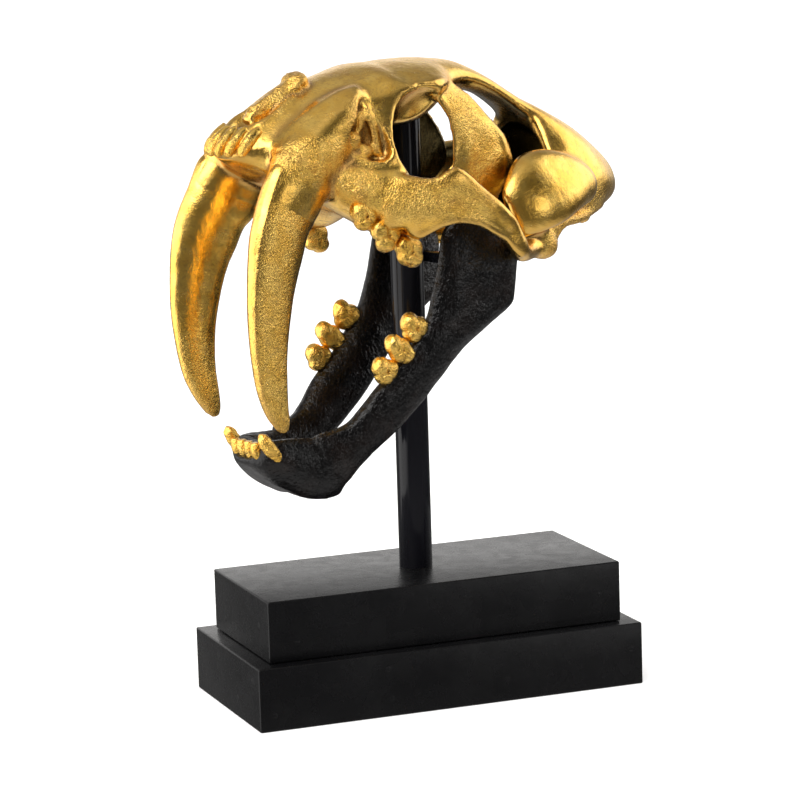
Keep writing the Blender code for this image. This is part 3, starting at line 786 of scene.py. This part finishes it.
# %% Cranium, carving
CRANIUM_STROKES = [
    ([(-104, -30, 455), (-116, -31, 448), (-127, -32, 441), (-136, -33, 434)], 4.5, -1.3),
    ([(-66, -40, 467), (-84, -47, 458), (-101, -52, 445), (-114, -55, 432)], 10, 1.0),
    ([(-72, -30, 470), (-94, -30, 461), (-107, -30, 453.5), (-123, -30, 445.6)], 4, 0.9),
    ([(-152, -17, 441), (-138, -18, 441), (-127, -18, 443), (-118, -17, 449), (-107, -15, 457),
      (-99, -13, 466), (-91, -13, 469)], 2.5, 1.2),
    ([(-106, -52, 408), (-104, -51, 400)], 6, -2.0),
    ([(-145, -46, 418)], 4, 1.2),
    ([(-139, -52, 419)], 4, 1.6),
    ([(-131, -56, 416)], 4.5, 1.6),
    ([(-123, -56, 411)], 4, 1.4),
    ([(-68, -62, 384), (-68, -61, 371), (-69, -60, 364)], 3.5, -2.6),
    ([(-50, -68, 374), (-50, -66, 364), (-51, -65, 354)], 3.5, -2.6),
    ([(-83, -60, 388), (-80, -60, 378)], 6, 1.6),
    ([(-61, -66, 376), (-60, -66, 366)], 6, 1.8),
    ([(-42, -70, 362), (-40, -68, 352)], 6, 1.6),
    ([(-48, -84, 388), (-29, -88, 382), (-8, -91, 374), (11, -91, 363), (28, -90, 350)], 10, -3.0),
    ([(-14, -86, 401), (6, -90, 385), (22, -90, 372), (37, -87, 358), (46, -83, 344)], 4, 0.8),
    ([(-40, -72, 355), (-25, -82, 361), (-14, -88, 363), (0, -91, 360), (14, -91, 352), (28, -89, 344),
      (41, -84, 333)], 4, 2.0),
    ([(32, -38, 448), (42, -40, 436), (50, -43, 429), (57, -44, 418), (63, -45, 405), (63, -45, 394),
      (59, -45, 385)], 2.6, 1.1),
    ([(-2, -46, 456), (5, -48, 445), (8, -50, 433), (9, -51, 421), (8, -50, 407)], 2.6, 1.0),
    ([(30, -46, 425), (36, -46, 410), (32, -46, 398)], 8, -1.4),
    ([(-38, -44, 465), (-29, -50, 459), (-11, -52, 460), (15, -46, 461)], 6, 0.8),
]
ROOT_GROOVES = [([(-165, y, 424), (-158, y, 433), (-150, y, 440)], 1.5, -1.3) for y in (-8.9, -17.4)]
MIDDLE_GROOVE = [([(-165, 0, 424), (-158, 0, 434), (-150, 0, 441)], 1.5, -1.3)]
BRAIN_LINE = [(-5, 0, 410), (60, 0, 398), (110, 0, 388), (145, 0, 374)]
CRINKLED = [
    [(-139, -52, 419), (-123, -56, 414), (-104, -60, 414), (-96, -60, 399), (-80, -64, 392)],
    [(-60, -66, 380), (-40, -80, 382), (-20, -86, 378), (0, -90, 372)],
    [(-97, -3, 468), (-125, -4, 450)],
    [(20, -44, 440), (36, -46, 420), (40, -46, 400)],
    [(90, -56, 345), (120, -50, 350), (150, -36, 352)],
    [(-74, -50, 440), (-70, -52, 420)],
    [(88, -55, 332)],
]
GUM_AND_EAR = [[(-150, -32, 425), (-142, -38, 420)], [(84, -62, 333), (100, -56, 346)]]
NOSE_KNOB = [[(-97, -3, 468), (-103, -8, 464)], [(-100, -6, 463), (-135, -6, 447)]]
BRAIN_REACH = 56
carve_strokes(cranium, CRANIUM_STROKES)
carve_strokes(cranium, ROOT_GROOVES)
carve_strokes(cranium, MIDDLE_GROOVE, sides=(1,))
roughen(cranium, CRINKLED, reach=10, size=5.0, height=0.35, seed=3.1)
roughen(cranium, GUM_AND_EAR, reach=8, size=5.0, height=0.9, seed=5.5)
roughen(cranium, NOSE_KNOB, reach=7, size=6.5, height=1.1, seed=7.7)
# Marks the inner walls of the braincase, which the gold leaf paints near black as painted shade.
store(cranium, "inside", facing(*mesh_points(cranium), BRAIN_LINE, BRAIN_REACH))
dress(cranium, CRINKLED, reach=13)
print("cranium carved; wrinkled share:", round(float(np.mean(
    [item.value for item in cranium.data.attributes["wrinkle"].data])), 2))

# %% [markdown]
# The lower jaw. The chin is a skin with equal halves, and each ramus is one
# limb from the chin up to the joint. The space between the two rami stays
# open. The surface is leathery, so the carving is shallow.

# %% Lower jaw
RAMUS = [
    ((13, -42.5, 362), (42, -52, 356), 6.0),
    ((2, -42, 349.5), (58, -50, 344), 8.5),
    ((-1.5, -42, 332.7), (66, -49, 330.8), 10.0),
    ((-6, -42, 314.7), (64.5, -48.5, 315), 11.0),
    ((-9.7, -42.3, 303.5), (64, -47, 301.3), 11.0),
    ((-13.5, -43, 291.8), (62, -45.5, 291), 11.0),
    ((-20, -43.5, 281), (43, -43.5, 279), 11.0),
    ((-28.5, -43, 271), (20, -40, 263.5), 11.0),
    ((-41, -41.5, 257.5), (0, -36.5, 243), 11.0),
    ((-52, -40.5, 247.8), (-18.5, -34, 223.5), 10.5),
    ((-61, -39.5, 239.5), (-38.5, -32, 206.8), 10.5),
    ((-70, -37.5, 229.2), (-55.5, -29, 194.8), 10.5),
    ((-80, -34.5, 219), (-68.5, -27, 184), 10.5),
    ((-91, -31, 214.5), (-78, -24.5, 173), 10.5),
    ((-106, -27, 212), (-89, -21, 164.5), 10.5),
]
CHIN = [
    (-155, [(0, 202), (10, 204), (15, 201), (9, 196), (0, 196)]),
    (-148, [(0, 207), (16, 208), (22, 200), (14, 190), (0, 189)]),
    (-137, [(0, 206), (20, 211), (27, 196), (17, 179.5), (0, 179.5)]),
    (-123, [(0, 199), (21, 211), (29, 190), (18, 171), (0, 171)]),
    (-108, [(0, 188), (23, 210), (31, 187), (21, 164), (0, 166)]),
    (-95, [(0, 178), (26, 209), (33, 187), (23, 161.5), (0, 168)]),
    (-83, [(0, 174), (28, 203), (34, 186), (23, 163.5), (0, 169)]),
]
JAW_STROKES = [
    ([(0, -53, 338), (4, -54, 318), (6, -54, 300)], 6, 1.0),
    ([(30, -60, 340), (34, -60, 320), (30, -58, 302)], 12, -2.0),
    ([(52, -58, 322), (56, -58, 306)], 7, 1.0),
    ([(-24, -53, 282), (-40, -52, 268), (-54, -50, 254)], 4, 1.4),
    ([(-20, -52, 270), (-36, -50, 256), (-50, -48, 244)], 5, -1.2),
    ([(-128, -28, 208), (-112, -32, 210), (-96, -36, 212), (-80, -40, 220)], 3, 1.2),
    ([(-120, -33, 198), (-100, -36, 200)], 6, -1.0),
    ([(-92, -36, 184)], 5, -1.2),
    ([(-158, 0, 201), (-157, -8, 201), (-153, -15, 202)], 6, -6.0),
    ([(-134, -29, 196)], 6, 1.8),
    ([(-84, -38, 222), (-104, -33, 214), (-124, -29, 211)], 2.5, 1.2),
]
JAW_GRAIN = [[(20, -50, 340), (40, -50, 310)], [(0, -48, 300), (-60, -40, 240)]]
bm = bmesh.new()
add_skin(bm, CHIN)
both_sides(add_limb, bm, RAMUS)
jaw = fuse(new_piece("jaw_lacquered", bm), voxel=1.6, rounds=9)
largest_part(jaw)
carve_strokes(jaw, JAW_STROKES)
points, _ = mesh_points(jaw)
raise_points(jaw, 0.22 * lumps(points, 5.5, 4.4) + 0.28 * lumps(points, 14.0, 9.2))
dress(jaw, JAW_GRAIN, reach=30)
print("lower jaw:", triangles(jaw), "triangles")

# %% [markdown]
# The sabres. Each is one long limb with a flattened section. The enamel has a
# thin raised line inside its front edge, a lumpy stripe down the middle where
# the leaf bunched up, and a smooth rear third.

# %% Sabres
SIDES = (("left", 1), ("right", -1))
SABRE = [
    ((-128, -46, 424), (-103, -42, 416), 5.0),
    ((-142, -47, 416), (-100, -40, 402), 9.5),
    ((-150, -47.5, 409), (-101.5, -38, 391), 12.7),
    ((-159, -47.6, 391.5), (-110, -36.3, 368.2), 13.8),
    ((-166.5, -49.9, 375), (-118.5, -38.9, 358), 13.5),
    ((-171, -50.8, 361.3), (-124.2, -41.4, 344.6), 12.6),
    ((-173.8, -51.5, 344.6), (-129.5, -43.5, 333.2), 11.5),
    ((-175.1, -51.4, 329.6), (-133.8, -44.6, 321.4), 10.6),
    ((-175.9, -51.3, 313.9), (-137, -45.5, 309), 9.7),
    ((-175.7, -51, 298), (-139.8, -46.2, 296), 8.9),
    ((-174.3, -50, 282), (-141.6, -46.4, 284), 8.1),
    ((-172, -49.2, 266.4), (-142.6, -46.4, 270.6), 7.4),
    ((-168.3, -48, 251), (-142.6, -46.2, 256.5), 6.6),
    ((-161, -45.8, 235.5), (-141.6, -44.8, 241), 5.6),
    ((-153, -45, 225), (-140.5, -45, 228.5), 3.7),
    ((-147.2, -45, 220.6), (-142, -45, 221.6), 1.8),
]
RIDGE_SHARE = 0.07
STRIPE_SHARE = 0.42


def along_sabre(share):
    """A line down the sabre, at this share of its width from the front edge."""
    line = []
    for front, rear, half in SABRE[2:-1]:
        front, rear = Vector(front), Vector(rear)
        bulge = half * math.sqrt(1.0 - (2 * share - 1) ** 2)
        spot = front.lerp(rear, share)
        line.append((spot.x, spot.y - bulge, spot.z))
    return line


def make_sabre(name, side):
    bm = bmesh.new()
    add_limb(bm, SABRE, side=side, sides=48, steps=8)
    sabre = fuse(new_piece(name, bm), voxel=1.25, rounds=4)
    ridge, stripe = along_sabre(RIDGE_SHARE), along_sabre(STRIPE_SHARE)
    carve_strokes(sabre, [(ridge, 1.5, 0.6)])
    points, _ = mesh_points(sabre)
    near = nearness(points, stripe, 6.0)
    field = 0.28 * lumps(points, 3.6, 1.3) + 0.16 * lumps(points, 7.0, 5.1)
    grain = 0.10 * lumps(points * np.array([1.0, 1.0, 0.35]), 2.6, 2.2)
    raise_points(sabre, field * near + grain)
    return dress(sabre, [stripe], reach=13)


sabres = {word: make_sabre("sabre_gilt_" + word, side) for word, side in SIDES}
print("sabre:", triangles(sabres["left"]), "triangles")

# %% [markdown]
# The small upper front teeth. Each is a short tapering limb that leans
# forward out of the bone, with a long root ridge running up behind it.

# %% Upper front teeth
UPPER_INCISOR = [
    ((-1.0, 0, 0.2), (0.4, 0, -0.9), 1.7),
    ((-2.0, 0, 3.2), (2.6, 0, -0.6), 3.3),
    ((-0.4, 0, 7.8), (5.4, 0, 1.6), 3.9),
    ((3.8, 0, 12.6), (9.6, 0, 5.2), 4.1),
    ((9.4, 0, 17.4), (14.6, 0, 9.6), 3.8),
    ((15.4, 0, 20.6), (19.6, 0, 14.4), 2.4),
]
UPPER_INCISOR_TIP = 418.4
UPPER_INCISOR_ROW = ((4.6, -167.0), (13.2, -164.0), (21.4, -158.4))


def moved(stations, shift):
    shift = Vector(shift)
    return [(tuple(Vector(upper) + shift), tuple(Vector(lower) + shift), half)
            for upper, lower, half in stations]


def small_tooth(node, stations, side, seed, worn=0.18):
    bm = bmesh.new()
    add_limb(bm, stations, side=side, sides=28, steps=6)
    tooth = fuse(new_piece(node + "_gilt", bm), voxel=0.5, rounds=3)
    points, _ = mesh_points(tooth)
    raise_points(tooth, worn * lumps(points, 2.6, seed) + worn * lumps(points, 5.0, seed + 3))
    return dress(tooth, [stations[2][:2]], reach=9)


front_teeth = []
for word, side in SIDES:
    for number, (y, x) in enumerate(UPPER_INCISOR_ROW, start=1):
        node = "upper_incisor_%s_%d" % (word, number)
        stations = moved(UPPER_INCISOR, (x, -y, UPPER_INCISOR_TIP))
        front_teeth.append((node, small_tooth(node, stations, side, number + side)))
print("upper front tooth:", triangles(front_teeth[0][1]), "triangles")

# %% [markdown]
# The lower front teeth stand on the chin like pegs: two small ones and one
# stout corner tooth on each side, leaning forward over the bone.

# %% Lower front teeth
LOWER_CANINE = [
    ((-136, -22.4, 190), (-124, -22.4, 190), 3.6),
    ((-143.5, -23, 198.5), (-132, -22.5, 197), 5.0),
    ((-149.5, -23, 205.5), (-136, -22.4, 204), 5.8),
    ((-152.5, -22.2, 212.5), (-142, -22, 212.4), 4.9),
    ((-151, -21.5, 217.6), (-146.4, -21.5, 217.2), 2.8),
]
LOWER_INCISOR = [
    ((-141.5, 0, 188), (-129, 0, 188), 3.4),
    ((-148.5, 0, 195.5), (-138, 0, 195), 4.2),
    ((-153, 0, 202.8), (-143.5, 0, 202.8), 4.3),
    ((-152.8, 0, 210), (-146.8, 0, 210.4), 3.3),
]
LOWER_INCISOR_ROW = (4.2, 12.4)
for word, side in SIDES:
    node = "lower_canine_" + word
    front_teeth.append((node, small_tooth(node, LOWER_CANINE, side, 8 + side, 0.3)))
    for number, y in enumerate(LOWER_INCISOR_ROW, start=1):
        node = "lower_incisor_%s_%d" % (word, number)
        stations = moved(LOWER_INCISOR, (0, -y, 0))
        front_teeth.append((node, small_tooth(node, stations, side, 11 + number + side, 0.3)))
print("front teeth:", len(front_teeth))

# %% [markdown]
# The cheek teeth are worn lumps with rounded lobes and a groove between them,
# so each is a few balls fused together, then grooved.

# %% Cheek teeth
UPPER_FRONT = (((-81.5, -57, 374.5), (7.4, 6.6, 7.6)), ((-76.5, -57.4, 371.5), (7.8, 6.8, 8.2)),
               ((-79.5, -58, 367.5), (7.2, 6.4, 6.2)))
UPPER_MIDDLE = (((-65.5, -58.4, 360), (7.4, 6.8, 7.4)), ((-57, -58.8, 356.5), (7.4, 6.8, 7.8)),
                ((-61, -58.8, 350.5), (7.8, 6.6, 7.0)))
UPPER_REAR = (((-44.8, -59, 346.5), (7.4, 7.0, 7.2)), ((-38.6, -59.4, 343.5), (7.6, 7.2, 7.4)),
              ((-43.4, -59.4, 339), (7.2, 7.0, 6.6)), ((-37.6, -59, 336.8), (7.2, 6.8, 6.4)))
LOWER_REAR = (((-30.5, -43, 286.5), (6.6, 6.4, 8.0)), ((-23.5, -43.2, 283), (7.6, 7.0, 7.8)),
              ((-28, -43.4, 279), (7.4, 6.8, 6.8)))
LOWER_MIDDLE = (((-46.5, -44, 273), (6.4, 6.4, 7.4)), ((-41, -44, 268), (8.6, 7.2, 8.8)),
                ((-35.5, -44, 264.5), (7.2, 6.8, 7.2)))
LOWER_FRONT = (((-57, -42.6, 257.5), (7.2, 6.4, 7.2)), ((-50.5, -42.4, 254.5), (7.6, 6.6, 7.6)),
               ((-54.5, -42.6, 250.5), (7.0, 6.4, 6.4)))
CHEEK_TEETH = {"upper_cheek_%s_front": UPPER_FRONT, "upper_cheek_%s_middle": UPPER_MIDDLE,
               "upper_cheek_%s_rear": UPPER_REAR, "lower_cheek_%s_rear": LOWER_REAR,
               "lower_cheek_%s_middle": LOWER_MIDDLE, "lower_cheek_%s_front": LOWER_FRONT}
RIGHT_FRONT_LIFT = 5.5
LOBE_SWELL = 1.07
CREASE_TURNS = ((-1, 0, 8), (6, 0, -5), (-7, 0, -3))


def cheek_tooth(node, balls, side, seed):
    bm = bmesh.new()
    for center, radii in balls:
        add_ball(bm, center, Vector(radii) * LOBE_SWELL, side=side)
    tooth = fuse(new_piece(node + "_gilt", bm), voxel=0.6, rounds=12)
    points, _ = mesh_points(tooth)
    raise_points(tooth, 0.7 * lumps(points, 8.0, seed) + 0.25 * lumps(points, 3.0, seed + 5))
    middle = np.mean([center for center, radii in balls], axis=0)
    middle[1] *= side
    outer = middle + (0, -7 * side, 0)
    creases = [[tuple(outer), tuple(outer + turned)] for turned in CREASE_TURNS]
    carve_strokes(tooth, [(crease, 1.2, -1.0) for crease in creases], sides=(1,))
    return dress(tooth, [[tuple(middle)]], reach=10)


cheek_teeth = []
for index, (pattern, balls) in enumerate(CHEEK_TEETH.items()):
    for word, side in SIDES:
        node = pattern % word
        if node == "upper_cheek_right_front":
            balls = [((x, y, z + RIGHT_FRONT_LIFT), radii) for (x, y, z), radii in balls]
        cheek_teeth.append((node, cheek_tooth(node, balls, side, index * 2.3 + side)))
print("cheek teeth:", len(cheek_teeth), "of about", triangles(cheek_teeth[0][1]), "triangles")

# %% [markdown]
# The post and the bar. A plain steel rod stands in the plinth and disappears
# into the skull. A short square bar behind it carries the jaw. The rod is a
# cylinder with softened rims, the bar a cube with eased edges.

# %% Post and bar
POST_RADIUS = 12.5
POST_FOOT = 81.6
POST_TOP = 441.0
BAR_SIZE = 7.4
BAR_X = 16.5
BAR_HEIGHT = 327.5
BAR_REACH = 42.0
POST_EASING = 0.4
BAR_EASING = 0.5


def ease(bm, edges, width, segments):
    bmesh.ops.bevel(bm, geom=edges, offset=width * MM, offset_type="OFFSET", affect="EDGES",
                    segments=segments, profile=0.5, material=-1)


def eased_box(bm, center, size, width, segments=3):
    place = Matrix.Translation(Vector(center) * MM) @ Matrix.Diagonal((*(Vector(size) * MM), 1))
    made = bmesh.ops.create_cube(bm, size=1.0, matrix=place)
    ease(bm, list({edge for vert in made["verts"] for edge in vert.link_edges}), width, segments)


def crisp(piece, angle):
    """Smooth faces, with sharp edges where they turn by more than the angle."""
    piece.data.polygons.foreach_set("use_smooth", [True] * len(piece.data.polygons))
    piece.data.set_sharp_from_angle(angle=math.radians(angle))
    return piece


bm = bmesh.new()
place = Matrix.Translation((0, 0, (POST_FOOT + POST_TOP) / 2 * MM))
bmesh.ops.create_cone(bm, cap_ends=True, segments=96, radius1=POST_RADIUS * MM,
                      radius2=POST_RADIUS * MM, depth=(POST_TOP - POST_FOOT) * MM, matrix=place)
rims = [edge for edge in bm.edges if len(edge.link_faces) == 2
        and any(len(face.verts) > 4 for face in edge.link_faces)]
ease(bm, rims, POST_EASING, 2)
post = crisp(new_piece("post_rod", bm), 40)
bm = bmesh.new()
eased_box(bm, (BAR_X, 0, BAR_HEIGHT), (BAR_SIZE, 2 * BAR_REACH, BAR_SIZE), BAR_EASING)
bm.transform(YAW)
bar = crisp(new_piece("bar_square", bm), 30)
print("post and bar:", triangles(post) + triangles(bar), "triangles")

# %% [markdown]
# The plinth is two flat wooden blocks, one on the other, sprayed black. Their
# edges are eased by about a millimetre. Filled nail heads show as faint
# bumps under the paint, so each is a very flat ball sunk in the face.

# %% Plinth
PLINTH_LOWER = (305.0, 147.0, 47.4)
PLINTH_UPPER = (280.0, 125.0, 45.9)
UPPER_FOOT = 47.7
PLINTH_EASING = 1.2
NAIL_RADIUS = 1.9
NAIL_SWELL = 0.3


def plinth_block(name, size, foot, front_nails, side_nails):
    bm = bmesh.new()
    eased_box(bm, (0, 0, foot + size[2] / 2), size, PLINTH_EASING, 4)
    front = [((x, -size[1] / 2, z), (NAIL_RADIUS, NAIL_SWELL, NAIL_RADIUS)) for x, z in front_nails]
    left = [((-size[0] / 2, y, z), (NAIL_SWELL, NAIL_RADIUS, NAIL_RADIUS)) for y, z in side_nails]
    for center, radii in front + left:
        place = Matrix.Translation(Vector(center) * MM) @ Matrix.Diagonal((*(Vector(radii) * MM), 1))
        bmesh.ops.create_uvsphere(bm, u_segments=16, v_segments=8, radius=1.0, matrix=place)
    return crisp(new_piece(name, bm), 30)


lower_block = plinth_block("plinth_lower_block", PLINTH_LOWER, 0.0,
                           ((-141, 12), (-52, 36), (-50, 14), (41, 38), (42, 17), (143, 28)),
                           ((-58, 36), (-22, 15), (20, 37), (52, 14)))
upper_block = plinth_block("plinth_upper_block", PLINTH_UPPER, UPPER_FOOT,
                           ((-118, 61), (14, 80), (122, 70)), ((-40, 72), (38, 60)))
print("plinth:", triangles(lower_block) + triangles(upper_block), "triangles")

# %% [markdown]
# Gold leaf. Real leaf over red clay is never one yellow: it is thin and rosy
# on worn edges and in small specks, bright where it was burnished, and crinkled
# where it bunched up over rough bone. The hollows are painted shade: rosy brown
# in shallow ones, dark brown in deep ones, and near black on the inner walls of
# the braincase. The wrinkle and hollow marks made with each piece say where.

# %% Gold leaf
LEAF_BRIGHT = (0.94, 0.61, 0.145)
LEAF_DEEP = (0.86, 0.51, 0.095)
# Rosy brown for thin, worn leaf on edges and in specks, and for painted shade in shallow hollows.
LEAF_THIN_AND_SHADE = (0.56, 0.32, 0.095)
# Dark brown painted shade for the deeper hollows.
LEAF_PIT_SHADE = (0.22, 0.16, 0.055)
# Near black painted shade for the inner walls of the braincase.
LEAF_INSIDE_SHADE = (0.115, 0.09, 0.038)


def gold_leaf():
    finish, tree, shader = new_finish("gold_leaf")
    wrinkle, hollow = attribute(tree, "wrinkle"), attribute(tree, "hollow")
    patches = stretch(tree, noise_map(tree, 60, 4, 0.6), 0.38, 0.62)
    tone = blend_colors(tree, patches, LEAF_BRIGHT, LEAF_DEEP)
    # Painted shade: the colour turns rosy brown where the surface lies in a hollow.
    depth = stretch(tree, hollow, 0.08, 0.8)
    # Worn leaf: sharp edges turn rosy brown where the leaf rubbed thin.
    edge = stretch(tree, hollow, -0.20, -1.0, 0.0, 0.5)
    flecks = stretch(tree, noise_map(tree, 380, 5, 0.6), 0.50, 0.72, 0.0, 0.55)
    # Edges and specks are real thin leaf; the hollow share is painted shade.
    thin_and_shade = maths(tree, "MAXIMUM", maths(tree, "MAXIMUM", depth, edge), flecks)
    tone = blend_colors(tree, thin_and_shade, tone, LEAF_THIN_AND_SHADE)
    # Painted shade: deeper hollows turn dark brown.
    tone = blend_colors(tree, stretch(tree, hollow, 0.8, 3.0, 0.0, 0.7), tone, LEAF_PIT_SHADE)
    # Painted shade: the inner walls of the braincase turn near black.
    tone = blend_colors(tree, attribute(tree, "inside"), tone, LEAF_INSIDE_SHADE)
    tree.links.new(tone, shader.inputs["Base Color"])
    shader.inputs["Metallic"].default_value = 1.0
    worn = stretch(tree, noise_map(tree, 120, 4), 0.3, 0.7, 0.19, 0.28)
    tree.links.new(worn, shader.inputs["Roughness"])
    amount = maths(tree, "ADD", maths(tree, "MULTIPLY", wrinkle, 0.85), 0.13)
    fine = maths(tree, "MULTIPLY", noise_map(tree, 800, 2, 0.7, 0.5), amount)
    coarse = maths(tree, "MULTIPLY", noise_map(tree, 230, 3, 0.8, 0.5), amount)
    relief = bump(tree, noise_map(tree, 70, 2), 0.0007)
    relief = bump(tree, coarse, 0.0010, below=relief)
    relief = bump(tree, fine, 0.0009, below=relief)
    tree.links.new(relief, shader.inputs["Normal"])
    return finish


gold = gold_leaf()
print("gold leaf nodes:", len(gold.node_tree.nodes))

# %% [markdown]
# Black finishes. The jaw is black over dark brown, glossy, with a leathery
# grain that breaks its highlights into specks. The post is smooth gloss
# paint, the plinth a satin spray with a faint cloudy haze.

# %% Black finishes
BONE_BLACK, BONE_BROWN = (0.0020, 0.0018, 0.0019), (0.0070, 0.0044, 0.0036)
POST_BLACK = (0.006, 0.006, 0.008, 1)
SPRAY_BLACK, SPRAY_HAZE = (0.0035, 0.0035, 0.0039), (0.0060, 0.0060, 0.0064)


def black_bone():
    finish, tree, shader = new_finish("black_bone")
    brown = stretch(tree, noise_map(tree, 40, 4, 0.5), 0.45, 0.75)
    tone = blend_colors(tree, brown, BONE_BLACK, BONE_BROWN)
    tree.links.new(tone, shader.inputs["Base Color"])
    gloss = stretch(tree, noise_map(tree, 160, 4), 0.3, 0.7, 0.10, 0.18)
    tree.links.new(gloss, shader.inputs["Roughness"])
    shader.inputs["Specular IOR Level"].default_value = 0.27
    relief = bump(tree, noise_map(tree, 110, 3, 0.4), 0.0012)
    relief = bump(tree, noise_map(tree, 420, 2, 0.8, 0.5), 0.0007, below=relief)
    tree.links.new(relief, shader.inputs["Normal"])
    return finish


def post_black():
    finish, tree, shader = new_finish("post_black")
    shader.inputs["Base Color"].default_value = POST_BLACK
    shader.inputs["Specular IOR Level"].default_value = 0.2
    gloss = stretch(tree, noise_map(tree, 60, 3), 0.3, 0.7, 0.08, 0.14)
    tree.links.new(gloss, shader.inputs["Roughness"])
    tree.links.new(bump(tree, noise_map(tree, 30, 2), 0.0003), shader.inputs["Normal"])
    return finish


def plinth_black():
    finish, tree, shader = new_finish("plinth_black")
    haze = stretch(tree, noise_map(tree, 22, 5, 0.4), 0.4, 0.75)
    tone = blend_colors(tree, haze, SPRAY_BLACK, SPRAY_HAZE)
    tree.links.new(tone, shader.inputs["Base Color"])
    shader.inputs["Specular IOR Level"].default_value = 0.2
    satin = stretch(tree, noise_map(tree, 75, 5, 0.6), 0.3, 0.7, 0.22, 0.31)
    tree.links.new(satin, shader.inputs["Roughness"])
    relief = bump(tree, noise_map(tree, 35, 3), 0.0004)
    relief = bump(tree, noise_map(tree, 1500, 2), 0.00006, below=relief)
    tree.links.new(relief, shader.inputs["Normal"])
    return finish


blacks = {"black_bone": black_bone(), "post_black": post_black(), "plinth_black": plinth_black()}
print("black finishes:", sorted(blacks))

# %% [markdown]
# Assembly. Each visible piece takes its finish, rides on the skull's one body
# and stands in for the measured solid it was built over.

# %% Assembly
FINISHES = {"gold_leaf": gold, **blacks}


def assemble(piece, slot, node):
    piece.data.materials.clear()
    piece.data.materials.append(FINISHES[slot])
    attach(piece, "root")
    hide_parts(node)


assemble(cranium, "gold_leaf", "cranium")
assemble(jaw, "black_bone", "mandible")
for word, sabre in sabres.items():
    assemble(sabre, "gold_leaf", "sabre_" + word)
for node, tooth in front_teeth + cheek_teeth:
    assemble(tooth, "gold_leaf", node)
assemble(post, "post_black", "post")
assemble(bar, "post_black", "jaw_bar")
assemble(lower_block, "plinth_black", "plinth_lower")
assemble(upper_block, "plinth_black", "plinth_upper")
shown = [item for item in scene.objects if item.type == "MESH" and item is not floor]
print("pieces:", len(shown))

# %% [markdown]
# Last, the view layer is brought up to date.

# %% Update
bpy.context.view_layer.update()
